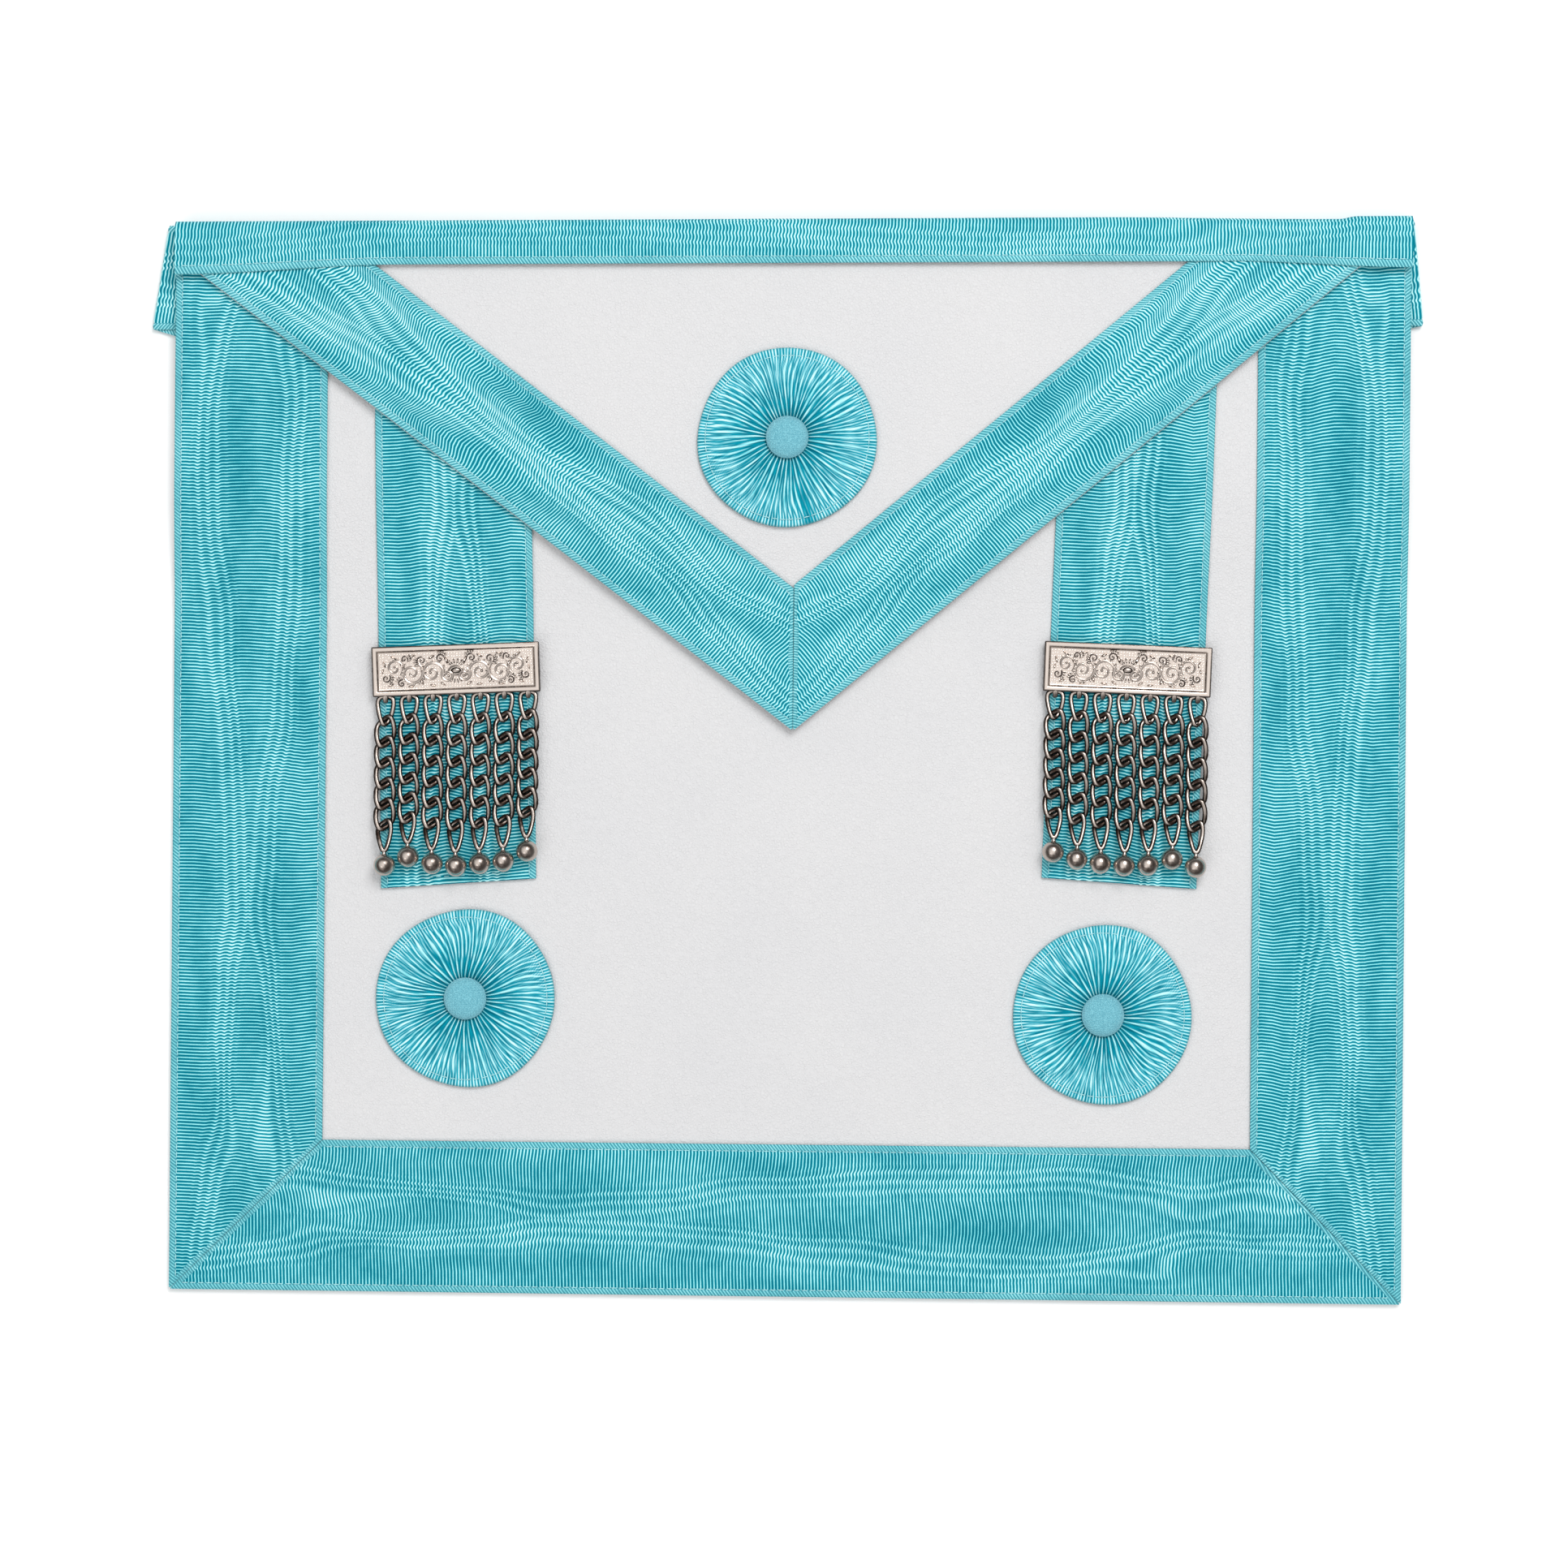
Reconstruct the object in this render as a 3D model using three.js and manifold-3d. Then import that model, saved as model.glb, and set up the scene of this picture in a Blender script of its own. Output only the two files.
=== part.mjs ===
// A masonic apron lying face up: white leather, bordered with blue moire ribbon, with a pointed flap,
// three gathered rosettes, two tassels of plated chain and a ribbon belt folded back beneath it.
// Millimetres. X runs across the apron, Y towards its top band and Z up from the table.
// The origin is on the table, under the middle of the whole.
import * as THREE from 'three';
import { mergeVertices } from 'three/addons/utils/BufferGeometryUtils.js';
import Module from 'manifold-3d';

const wasm = await Module();
wasm.setup();

const { Vector3 } = THREE;
const degree = Math.PI / 180;

// Apron, of leather bordered with ribbon. The clearance is what keeps one layer off the next.
const apronWidth = 405;
const apronHeight = 354;
const leatherThickness = 1;
const ribbonThickness = 1;
const clearance = 0.3;
const borderWidth = 50;
const leatherInset = 0.8;
const bandDepth = 15;

// How the apron lies: its sides lean and its top and bottom edges slope, as sideways share of a length.
const sideLean = 0.0088;
const topSlope = 0.0047;
const bottomSlope = -0.013;

// Flap, a triangle whose edges rise from its point at their own angles.
const flapDrop = 0.4746 * apronHeight;
const flapPointAcross = 1;
const flapRiseLeft = 37.6;
const flapRiseRight = 39.4;
const flapRibbonWidth = 37;
const pointWidth = 0.5;
const mitreTip = 0.3;
const seamRoll = 1.4;
const seamRollHeight = 0.5;

// Belt ribbon, which sticks out beside the apron, folds on a leaning line and runs back beneath.
const beltWidth = 34.5;
const beltInset = 1;
const beltSewnLength = 45;
const beltReachLeft = 3.1;
const beltReachRight = 1.6;
const beltLeanLeft = 8.5;
const beltLeanRight = 5.3;
const foldSteps = 4;
const claspLength = 30;
const claspThickness = 1.6;
const claspMargin = 1;
const climbLength = 50;
const climbSteps = 6;

// Tassels: a ribbon with a slide across it, and chains with a ball at their foot. Angles are in degrees,
// and sway is how far the chains drift sideways, as a share of a link's width.
const tasselRibbonWidth = 51;
const tasselRibbonBelow = 70.3;
const chainGap = 0.9;
const chainMargin = 0.7;
const tassels = [
  { side: 'left', across: -0.2704 * apronWidth, turn: 2, ribbonLean: 0.58, hemTilt: 3.6, sway: -0.32, linked: true },
  { side: 'right', across: 0.2741 * apronWidth, turn: -2.4, ribbonLean: -2.2, hemTilt: -4.2, sway: 0.2, linked: false },
];

// How far down each chain's ball lies, as a share of the full drop, from left to right.
const ballDrops = {
  left: [0.98, 0.93, 0.98, 1, 0.99, 0.98, 0.92],
  right: [0.93, 0.97, 0.99, 1, 0.99, 0.945, 0.99],
};

// Slide, a cast plate whose ends turn down past the ribbon.
const slideHeight = 16.4;
const slideFit = 0.6;
const slideEnd = 1.4;
const slideThickness = 1.5;
const slideCorner = 1;
const rimWidth = 1.5;
const rimHeight = 1;
const reliefRadius = 0.75;
const reliefSides = 4;
const reliefSteps = 8;
const hookWidth = 1.6;
const hookBar = 0.8;

// Scrolls and leaves of one half of the slide's relief, mirrored to the other half. Places and radii
// are shares of the field's half length and half height inside the rim; angles are in degrees.
const scrolls = [
  { across: 0.3, up: 0.12, radius: 0.68, start: 250, sweep: -400, tighten: 0.7 },
  { across: 0.68, up: -0.1, radius: 0.66, start: 110, sweep: 400, tighten: 0.7 },
];
const leaves = [
  { across: 0.12, up: -0.55, length: 0.42, width: 0.17, turn: 30 },
  { across: 0.49, up: 0.62, length: 0.46, width: 0.17, turn: -24 },
  { across: 0.9, up: 0.45, length: 0.42, width: 0.18, turn: 62 },
  { across: 0.9, up: -0.5, length: 0.38, width: 0.18, turn: -60 },
  { across: 0, up: 0.2, length: 0.6, width: 0.27, turn: 90 },
];
const leafHeight = 0.9;

// Chain: a ring on the hook, five twisted curb links and a pinched ring that holds the ball.
const linkWire = 1.25;
const linkWidth = 6.6;
const linkPitch = 6.93;
const linkTwist = 40;
const linkSides = 10;
const wireSides = 5;
const hookRingPitch = 7.2;
const ballRingPitch = 7.7;
const pinch = 0.45;
const joinDepth = 0.37;
const curbLinks = 5;
const tubeSides = 8;
const tubeSteps = 4;
const tubeHeight = 3.4;
const ballDiameter = 6.8;
const ballSides = 10;
const ballRings = 5;

// Rosette, a disc of gathered ribbon, and its covered button.
const rosetteDiameter = 58;
const rosettePleats = 18;
const rosetteCrown = 3.6;
const buttonDiameter = 13.9;
const buttonHeight = 3.2;
const buttonSides = 12;
const rosetteArmGap = 10;
const rosetteAcross = -1.7;
const rosetteRoom = 1.481 * rosetteDiameter;
const lowerRosettes = [
  { name: 'left', across: -0.2612 * apronWidth, belowHem: 0.1655 * rosetteDiameter },
  { name: 'right', across: 0.2558 * apronWidth, belowHem: 0.231 * rosetteDiameter },
];

// Outline of the button from its underside to its crown, as shares of its radius and height.
const buttonRings = [
  { radius: 0, height: 0 },
  { radius: 0.92, height: 0 },
  { radius: 1, height: 0.35 },
  { radius: 0.72, height: 0.85 },
  { radius: 0, height: 1 },
];

// Pleat depth and thickness of the rosette, ring by ring: share of the radius, of the crown, of the pleat.
const rosetteRings = [
  { radius: 0.25, height: 0.55, pleat: 0 },
  { radius: 0.33, height: 1, pleat: 1 },
  { radius: 0.66, height: 0.72, pleat: 0.75 },
  { radius: 1, height: 0.5, pleat: 0.45 },
];
const pleatDepth = 0.7;
const undersideRing = 0.5;

// Places and levels worked out from the sizes above. Levels are heights over the leather's underside.
const halfWidth = apronWidth / 2;
const topEdge = apronHeight / 2;
const borderLevel = leatherThickness + clearance;
const flapLevel = borderLevel + ribbonThickness + clearance;
const armLevel = flapLevel + leatherThickness + clearance;
const bandLevel = armLevel + ribbonThickness + clearance;
const bandFront = bandLevel + ribbonThickness / 2;
const bandBack = -clearance - ribbonThickness / 2;
const bandRadius = (bandFront - bandBack) / 2;
const sheetTop = topEdge - bandRadius - ribbonThickness / 2;
const climb = 3 * (ribbonThickness + clearance);
const tasselLevel = borderLevel + ribbonThickness + clearance;
const tasselFoot = borderWidth - topEdge + rosetteRoom;
const slideY = tasselFoot + tasselRibbonBelow;
const slideLength = tasselRibbonWidth + 2 * (slideFit + slideEnd);
const flapPoint = topEdge - flapDrop;
const buttonSeat = rosetteRings[0].height * rosetteCrown;
const widest = Math.max(linkWidth, ballDiameter);
const chainRow = slideLength - 2 * chainMargin - widest;
const chainCount = Math.floor(chainRow / (widest + chainGap)) + 1;
const chainSpacing = chainRow / (chainCount - 1);
const linkHalf = (linkWidth - linkWire) / 2;

// Middle of a belt fold, and the way that its back run takes from there.
function beltFold(side, reach, lean) {
  const middle = topEdge - beltInset - beltWidth / 2;
  const across = reach + Math.tan(lean * degree) * (beltInset + beltWidth / 2);
  return {
    middle: new Vector3(side * (halfWidth + across - ribbonThickness - clearance / 2), middle, 0),
    heading: new Vector3(-side * Math.cos(2 * lean * degree), -Math.sin(2 * lean * degree), 0),
    line: new Vector3(side * Math.sin(lean * degree), -Math.cos(lean * degree), 0),
  };
}

const foldLeft = beltFold(-1, beltReachLeft, beltLeanLeft);
const foldRight = beltFold(1, beltReachRight, beltLeanRight);

// Length of the left back run up to where the middles of both runs cross.
function crossing() {
  const apart = foldRight.middle.clone().sub(foldLeft.middle);
  const { heading: a } = foldLeft;
  const { heading: b } = foldRight;
  return (apart.x * b.y - apart.y * b.x) / (a.x * b.y - a.y * b.x);
}

const claspMiddle = foldLeft.middle.clone().addScaledVector(foldLeft.heading, crossing());
const climbEnd = claspMiddle.y - beltWidth / 2 - claspMargin - 1;
const climbStart = climbEnd - climbLength;

const leather = new THREE.MeshStandardMaterial({ color: 0xebebec, roughness: 0.6, metalness: 0 });
const moire = new THREE.MeshStandardMaterial({ color: 0x63bac6, roughness: 0.45, metalness: 0 });
const covered = new THREE.MeshStandardMaterial({ color: 0x82c8d4, roughness: 0.7, metalness: 0 });
const plated = new THREE.MeshStandardMaterial({ color: 0xc9bdb4, roughness: 0.25, metalness: 1 });

const apron = new THREE.Group();

function add(parent, name, geometry, material) {
  const mesh = new THREE.Mesh(geometry, material);
  mesh.name = name;
  parent.add(mesh);
  return mesh;
}

// Height of the leather's underside over the table: it climbs on to the belt towards the top.
function lift(y) {
  return climb * THREE.MathUtils.smoothstep(y, climbStart, climbEnd);
}

// Lays a flat-cut piece as the real apron lies: leaning, sloping and lifted by the belt beneath.
function lay(geometry, height = lift) {
  const position = geometry.getAttribute('position');
  for (let i = 0; i < position.count; i += 1) {
    const x = position.getX(i);
    const y = position.getY(i);
    const slope = THREE.MathUtils.mapLinear(y, -topEdge, topEdge, bottomSlope, topSlope);
    position.setXYZ(i, x + sideLean * y, y + slope * x, position.getZ(i) + height(y));
  }
  return geometry;
}

// Closed mesh of the given points and triangles, turned right side out.
function closedMesh(points, triangles) {
  const volume = triangles.reduce((sum, [a, b, c]) => {
    const normal = new Vector3().crossVectors(points[b], points[c]);
    return sum + points[a].dot(normal);
  }, 0);
  const outward = volume > 0 ? triangles : triangles.map(([a, b, c]) => [a, c, b]);
  const geometry = new THREE.BufferGeometry().setFromPoints(points);
  geometry.setIndex(outward.flat());
  return geometry;
}

// Solid sheet from rows of { under, over } points, each row running from one side to the other.
function slab(rows) {
  const columns = rows[0].length;
  const points = [...rows.flat().map((p) => p.under), ...rows.flat().map((p) => p.over)];
  const layer = rows.length * columns;
  const triangles = [];
  const quad = (a, b, c, d) => triangles.push([a, b, c], [a, c, d]);
  for (let r = 0; r + 1 < rows.length; r += 1) {
    for (let c = 0; c + 1 < columns; c += 1) {
      const i = r * columns + c;
      const j = i + columns;
      quad(layer + i, layer + i + 1, layer + j + 1, layer + j);
      quad(i, j, j + 1, i + 1);
    }
    const first = r * columns;
    const last = first + columns - 1;
    quad(first, layer + first, layer + first + columns, first + columns);
    quad(last, last + columns, layer + last + columns, layer + last);
  }
  for (let c = 0; c + 1 < columns; c += 1) {
    const end = (rows.length - 1) * columns + c;
    quad(c, c + 1, layer + c + 1, layer + c);
    quad(end, layer + end, layer + end + 1, end + 1);
  }
  return closedMesh(points, triangles);
}

// Heights from one end to the other, with the stations of the climb on to the belt between them.
function stations(from, to, extra = []) {
  const steps = Array.from({ length: climbSteps + 1 }, (_, i) => climbStart + (climbLength * i) / climbSteps);
  const between = [...steps, ...extra].filter((y) => y > from && y < to);
  return [from, ...between, to].sort((a, b) => a - b);
}

// Flat panel at one level, from the places of its two sides at each station.
function panel(heights, leftSide, rightSide, level, thickness) {
  const point = (x, y, z) => new Vector3(x, y, z);
  const row = (y) => [leftSide(y), rightSide(y)].map((x) => ({
    under: point(x, y, level),
    over: point(x, y, level + thickness),
  }));
  return lay(slab(heights.map(row)));
}

const solidOf = (geometry) => {
  const bare = geometry.clone();
  bare.deleteAttribute('normal');
  bare.deleteAttribute('uv');
  const merged = mergeVertices(bare, 1e-5);
  return new wasm.Manifold(new wasm.Mesh({
    numProp: 3,
    vertProperties: new Float32Array(merged.getAttribute('position').array),
    triVerts: new Uint32Array(merged.index.array),
  }));
};

function geometryOf(solid) {
  const mesh = solid.getMesh();
  const geometry = new THREE.BufferGeometry();
  geometry.setAttribute('position', new THREE.BufferAttribute(mesh.vertProperties, 3));
  geometry.setIndex(new THREE.BufferAttribute(mesh.triVerts, 1));
  return geometry;
}

const fused = (geometries) => geometryOf(geometries.map(solidOf).reduce((sum, next) => sum.add(next)));

// Leather body and the ribbons round it
function addBody() {
  const side = halfWidth - leatherInset;
  const heights = stations(-topEdge + leatherInset, sheetTop);
  add(apron, 'apron_body', panel(heights, () => -side, () => side, 0, leatherThickness), leather);
}

function addBorders() {
  const inner = halfWidth - borderWidth;
  const corner = -topEdge + borderWidth;
  const mitre = (y) => halfWidth - Math.min(y, corner) - topEdge;
  const seam = clearance / 2 / Math.cos(Math.PI / 4);
  const heights = stations(mitreTip + seam - topEdge, sheetTop, [corner]);
  const inside = (y) => Math.max(inner, mitre(y) + seam);
  const left = panel(heights, () => -halfWidth, (y) => -inside(y), borderLevel, ribbonThickness);
  const right = panel(heights, inside, () => halfWidth, borderLevel, ribbonThickness);
  add(apron, 'border_left', left, moire);
  add(apron, 'border_right', right, moire);
  const along = (y) => mitre(y) - seam;
  const bottom = panel([-topEdge, corner], (y) => -along(y), along, borderLevel, ribbonThickness);
  add(apron, 'border_bottom', bottom, moire);
}

// Band folded over the top edge: front leg, round fold and back leg
function addBand() {
  const centre = (bandFront + bandBack) / 2;
  const path = [{ y: topEdge - bandDepth, z: bandFront, turn: 0 }];
  for (let i = 0; i <= 2 * foldSteps; i += 1) {
    const turn = (Math.PI * i) / (2 * foldSteps);
    path.push({ y: sheetTop + bandRadius * Math.sin(turn), z: centre + bandRadius * Math.cos(turn), turn });
  }
  path.push({ y: topEdge - bandDepth, z: bandBack, turn: Math.PI });
  const rows = path.map(({ y, z, turn }) => [-halfWidth, halfWidth].map((x) => {
    const out = new Vector3(0, Math.sin(turn), Math.cos(turn)).multiplyScalar(ribbonThickness / 2);
    const middle = new Vector3(x, y, z);
    return { under: middle.clone().sub(out), over: middle.clone().add(out) };
  }));
  add(apron, 'top_band', lay(slab(rows)), moire);
}

// Flap and its ribbon arms. Each outer edge rises from the point to the apron's side.
function edge(side, rise, inset) {
  return (y) => {
    const up = y - flapPoint - inset / Math.cos(rise * degree);
    return flapPointAcross + side * (pointWidth / 2 + up / Math.tan(rise * degree));
  };
}

function addFlap() {
  const left = edge(-1, flapRiseLeft, 0);
  const right = edge(1, flapRiseRight, 0);
  const leftSide = (y) => Math.max(-halfWidth, left(y));
  const rightSide = (y) => Math.min(halfWidth, right(y));
  const leftCorner = flapPoint + (halfWidth + flapPointAcross) * Math.tan(flapRiseLeft * degree);
  const heights = stations(flapPoint, sheetTop, [leftCorner]);
  add(apron, 'flap', panel(heights, leftSide, rightSide, flapLevel, leatherThickness), leather);

  const seam = clearance / 2;
  const innerPoint = (rise) => flapPoint + flapRibbonWidth / Math.cos(rise * degree);
  const leftInner = edge(-1, flapRiseLeft, flapRibbonWidth);
  const rightInner = edge(1, flapRiseRight, flapRibbonWidth);
  const beside = flapPointAcross;
  const leftRows = stations(flapPoint, sheetTop, [leftCorner, innerPoint(flapRiseLeft)]);
  const leftArm = panel(
    leftRows,
    (y) => Math.min(leftSide(y), beside - pointWidth),
    (y) => Math.min(leftInner(y), beside - seam),
    armLevel,
    ribbonThickness,
  );
  add(apron, 'flap_ribbon_left', leftArm, moire);

  // The right arm's edge is rolled under where it meets the left one, and stands a little higher.
  const rightRows = stations(flapPoint, sheetTop, [innerPoint(flapRiseRight)]);
  const rolled = rightRows.map((y) => {
    const near = Math.max(rightInner(y), beside + seam);
    const far = Math.max(rightSide(y), beside + pointWidth);
    const roll = near + Math.min(seamRoll, (far - near) / 2);
    const height = y < innerPoint(flapRiseRight) ? seamRollHeight : 0;
    return [{ x: near, rise: height }, { x: roll, rise: 0 }, { x: far, rise: 0 }].map(({ x, rise }) => ({
      under: new Vector3(x, y, armLevel),
      over: new Vector3(x, y, armLevel + ribbonThickness + rise),
    }));
  });
  add(apron, 'flap_ribbon_right', lay(slab(rolled)), moire);
}

// Belt ribbon: sewn stretch, fold and back run to the clasp
function addBeltRibbon(name, fold, side) {
  const { middle, heading, line } = fold;
  const frontLevel = ribbonThickness + clearance + ribbonThickness / 2;
  const backLevel = ribbonThickness / 2;
  const radius = (frontLevel - backLevel) / 2;
  const outward = new Vector3(-line.y * side, line.x * side, 0);
  const half = beltWidth / 2 / Math.cos(Math.atan2(Math.abs(line.x), -line.y));
  const kink = foldLeft.heading.angleTo(foldRight.heading.clone().negate()) / 2;
  const stop = (beltWidth / 2) * Math.tan(kink) + clearance;
  const run = claspMiddle.clone().sub(middle).length() - stop;
  const rows = [];
  const station = (place, normal) => rows.push([-1, 1].map((end) => {
    const at = middle.clone().addScaledVector(line, -end * half);
    const point = place(at);
    const out = normal.clone().multiplyScalar(ribbonThickness / 2);
    return { under: point.clone().sub(out), over: point.clone().add(out) };
  }));
  const up = new Vector3(0, 0, 1);
  station((at) => at.clone().setX(at.x - side * beltSewnLength).setZ(frontLevel), up);
  for (let i = 0; i <= foldSteps; i += 1) {
    const turn = (Math.PI * i) / foldSteps;
    const normal = outward.clone().multiplyScalar(Math.sin(turn)).addScaledVector(up, Math.cos(turn));
    const centre = (frontLevel + backLevel) / 2;
    station((at) => at.clone().setZ(centre).addScaledVector(normal, radius), normal);
  }
  const down = new Vector3(0, 0, -1);
  station((at) => {
    const along = run - at.clone().sub(middle).dot(heading);
    return at.clone().addScaledVector(heading, along).setZ(backLevel);
  }, down);
  add(apron, name, lay(slab(rows), () => 0), moire);
}

function addBelt() {
  addBeltRibbon('belt_left', foldLeft, -1);
  addBeltRibbon('belt_right', foldRight, 1);
  const plate = new THREE.BoxGeometry(claspLength, beltWidth + claspMargin, claspThickness);
  plate.translate(claspMiddle.x, claspMiddle.y, ribbonThickness + clearance + claspThickness / 2);
  add(apron, 'belt_clasp', lay(plate, () => 0), plated);
}

// Ribbon of one tassel, from under the flap to its slanting hem
function addTasselRibbon({ side, across, ribbonLean, hemTilt }) {
  const lean = Math.tan(ribbonLean * degree);
  const tilt = Math.tan(hemTilt * degree);
  const half = tasselRibbonWidth / 2;
  const heights = stations(tasselFoot, topEdge - bandDepth);
  const rows = heights.map((y) => [-half, half].map((x) => {
    const height = y === tasselFoot ? y + tilt * x : y;
    const middle = across - lean * (y - slideY);
    const point = new Vector3(middle + x, height, borderLevel + lift(height));
    return { under: point, over: point.clone().setZ(point.z + ribbonThickness) };
  }));
  add(apron, `tassel_ribbon_${side}`, slab(rows), moire);
}

// Slide: plate, rim, ends that turn down beside the ribbon, relief and hooks
const chainAcross = (i) => (i - (chainCount - 1) / 2) * chainSpacing;
const slideEdge = -slideHeight / 2;
const hookRingY = slideEdge - clearance - linkWire / 2;

function plateShape(inset) {
  const x = slideLength / 2 - inset;
  const y = slideHeight / 2 - inset;
  const c = slideCorner;
  const right = [[x - c, -y], [x, c - y], [x, y - c], [x - c, y]];
  const left = right.map(([px, py]) => [-px, -py]);
  return [...right, ...left].map(([px, py]) => new THREE.Vector2(px, py));
}

function slidePlate() {
  const base = new THREE.Shape(plateShape(0));
  const rim = new THREE.Shape(plateShape(0));
  rim.holes.push(new THREE.Path(plateShape(rimWidth)));
  const reach = tasselLevel - borderLevel;
  const ends = [-1, 1].map((end) => {
    const turned = new THREE.BoxGeometry(slideEnd, slideHeight - 2 * slideCorner, reach + slideThickness);
    return turned.translate((end * (slideLength - slideEnd)) / 2, 0, (slideThickness - reach) / 2);
  });
  const plate = new THREE.ExtrudeGeometry(base, { depth: slideThickness, bevelEnabled: false });
  const rimDepth = slideThickness / 2 + rimHeight;
  const raised = new THREE.ExtrudeGeometry(rim, { depth: rimDepth, bevelEnabled: false });
  raised.translate(0, 0, slideThickness / 2);
  return [plate, raised, ...ends];
}

class Scroll extends THREE.Curve {
  constructor(row, mirror) {
    super();
    this.row = row;
    this.mirror = mirror;
  }

  getPoint(t, target = new Vector3()) {
    const { across, up, radius, start, sweep, tighten } = this.row;
    const field = slideHeight / 2 - rimWidth;
    const reach = radius * field * (1 - tighten * t);
    const angle = (start + sweep * t) * degree;
    const x = across * (slideLength / 2 - rimWidth) + reach * Math.cos(angle);
    return target.set(this.mirror * x, up * field + reach * Math.sin(angle), slideThickness);
  }
}

function ngon(radius, sides) {
  const angles = Array.from({ length: sides }, (_, i) => (2 * Math.PI * (i + 0.5)) / sides);
  return new THREE.Shape(angles.map((a) => new THREE.Vector2(radius * Math.cos(a), radius * Math.sin(a))));
}

function slideRelief(mirror) {
  const curls = scrolls.map((row) => new THREE.ExtrudeGeometry(ngon(reliefRadius, reliefSides), {
    steps: reliefSteps,
    extrudePath: new Scroll(row, mirror),
  }));
  const fieldX = slideLength / 2 - rimWidth;
  const fieldY = slideHeight / 2 - rimWidth;
  const blades = leaves.map(({ across, up, length, width, turn }) => {
    const blade = new THREE.OctahedronGeometry(1);
    blade.scale(length * fieldY, width * fieldY, leafHeight);
    blade.rotateZ(mirror > 0 ? turn * degree : Math.PI - turn * degree);
    return blade.translate(mirror * across * fieldX, up * fieldY, slideThickness);
  });
  return [...curls, ...blades];
}

function hook(x) {
  const top = slideThickness + rimHeight - clearance / 2;
  const inside = linkWire + clearance;
  const tip = hookRingY - linkWire / 2 - clearance;
  const profile = new THREE.Shape([
    new THREE.Vector2(slideEdge + rimWidth / 2, inside + clearance / 2),
    new THREE.Vector2(tip, inside + clearance / 2),
    new THREE.Vector2(tip, clearance),
    new THREE.Vector2(tip - hookBar, clearance),
    new THREE.Vector2(tip - hookBar, inside),
    new THREE.Vector2(tip - hookBar / 2, top),
    new THREE.Vector2(slideEdge + rimWidth / 2, top),
  ]);
  const bent = new THREE.ExtrudeGeometry(profile, { depth: hookWidth, bevelEnabled: false });
  bent.rotateY(Math.PI / 2);
  bent.rotateX(Math.PI / 2);
  return bent.translate(x - hookWidth / 2, 0, 0);
}

function slideGeometry() {
  const hooks = Array.from({ length: chainCount }, (_, i) => hook(chainAcross(i)));
  return fused([...slidePlate(), ...slideRelief(1), ...slideRelief(-1), ...hooks]);
}

// Link: a ring of wire between two joints, each end turned about the chain so that links pass
// through one another.
function linkGeometry({ from, to, topTwist, footTwist, topHalf, footHalf }) {
  const half = (from.y - to.y) / 2 + joinDepth * linkWire;
  const middle = from.clone().add(to).multiplyScalar(0.5);
  const place = (angle) => {
    const along = Math.sin(angle);
    const twist = (along > 0 ? topTwist : footTwist) * Math.abs(along) * degree;
    const wide = Math.cos(angle) * THREE.MathUtils.lerp(footHalf, topHalf, (1 + along) / 2);
    const drift = from.clone().sub(to).multiplyScalar(along / 2);
    const x = middle.x + drift.x + wide * Math.cos(twist);
    return new Vector3(x, middle.y + half * along, middle.z + drift.z + wide * Math.sin(twist));
  };
  const points = [];
  const small = 1e-3;
  for (let i = 0; i < linkSides; i += 1) {
    const angle = (2 * Math.PI * (i + 0.5)) / linkSides;
    const centre = place(angle);
    const tangent = place(angle + small).sub(place(angle - small)).normalize();
    const outward = centre.clone().sub(middle);
    outward.addScaledVector(tangent, -outward.dot(tangent)).normalize();
    const across = new Vector3().crossVectors(tangent, outward);
    for (let k = 0; k < wireSides; k += 1) {
      const turn = (2 * Math.PI * k) / wireSides;
      const reach = outward.clone().multiplyScalar(Math.cos(turn)).addScaledVector(across, Math.sin(turn));
      points.push(centre.clone().addScaledVector(reach, linkWire / 2));
    }
  }
  const triangles = [];
  for (let i = 0; i < linkSides; i += 1) {
    for (let k = 0; k < wireSides; k += 1) {
      const next = (k + 1) % wireSides;
      const a = i * wireSides;
      const b = ((i + 1) % linkSides) * wireSides;
      triangles.push([a + k, b + k, b + next], [a + k, b + next, a + next]);
    }
  }
  return closedMesh(points, triangles);
}

// Joints of a chain from its hook to its ball ring, drawn in to the share of the drop that it takes
function chainJoints(x, share, sway) {
  const pitches = [hookRingPitch, ...Array(curbLinks).fill(linkPitch), ballRingPitch];
  const total = pitches.reduce((sum, p) => sum + p, 0);
  const rise = linkHalf * Math.SQRT1_2 * Math.sin(linkTwist * Math.SQRT1_2 * degree);
  const hookLevel = (linkWire + clearance) / 2;
  const curbLevel = hookLevel + rise;
  const ballLevel = ballDiameter / 2;
  const joints = [new Vector3(x, hookRingY, hookLevel)];
  let down = 0;
  pitches.forEach((pitch, i) => {
    down += pitch;
    const level = i + 1 === pitches.length ? ballLevel : curbLevel;
    joints.push(new Vector3(x + (sway * linkWidth * down) / total, hookRingY - down * share, level));
  });
  return joints;
}

function chainGeometry(joints) {
  const links = joints.slice(1).map((to, i) => linkGeometry({
    from: joints[i],
    to,
    topTwist: i === 0 ? 0 : linkTwist,
    footTwist: i === joints.length - 2 ? 0 : -linkTwist,
    topHalf: linkHalf,
    footHalf: i === joints.length - 2 ? linkHalf * pinch : linkHalf,
  }));
  return fused(links);
}

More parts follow.
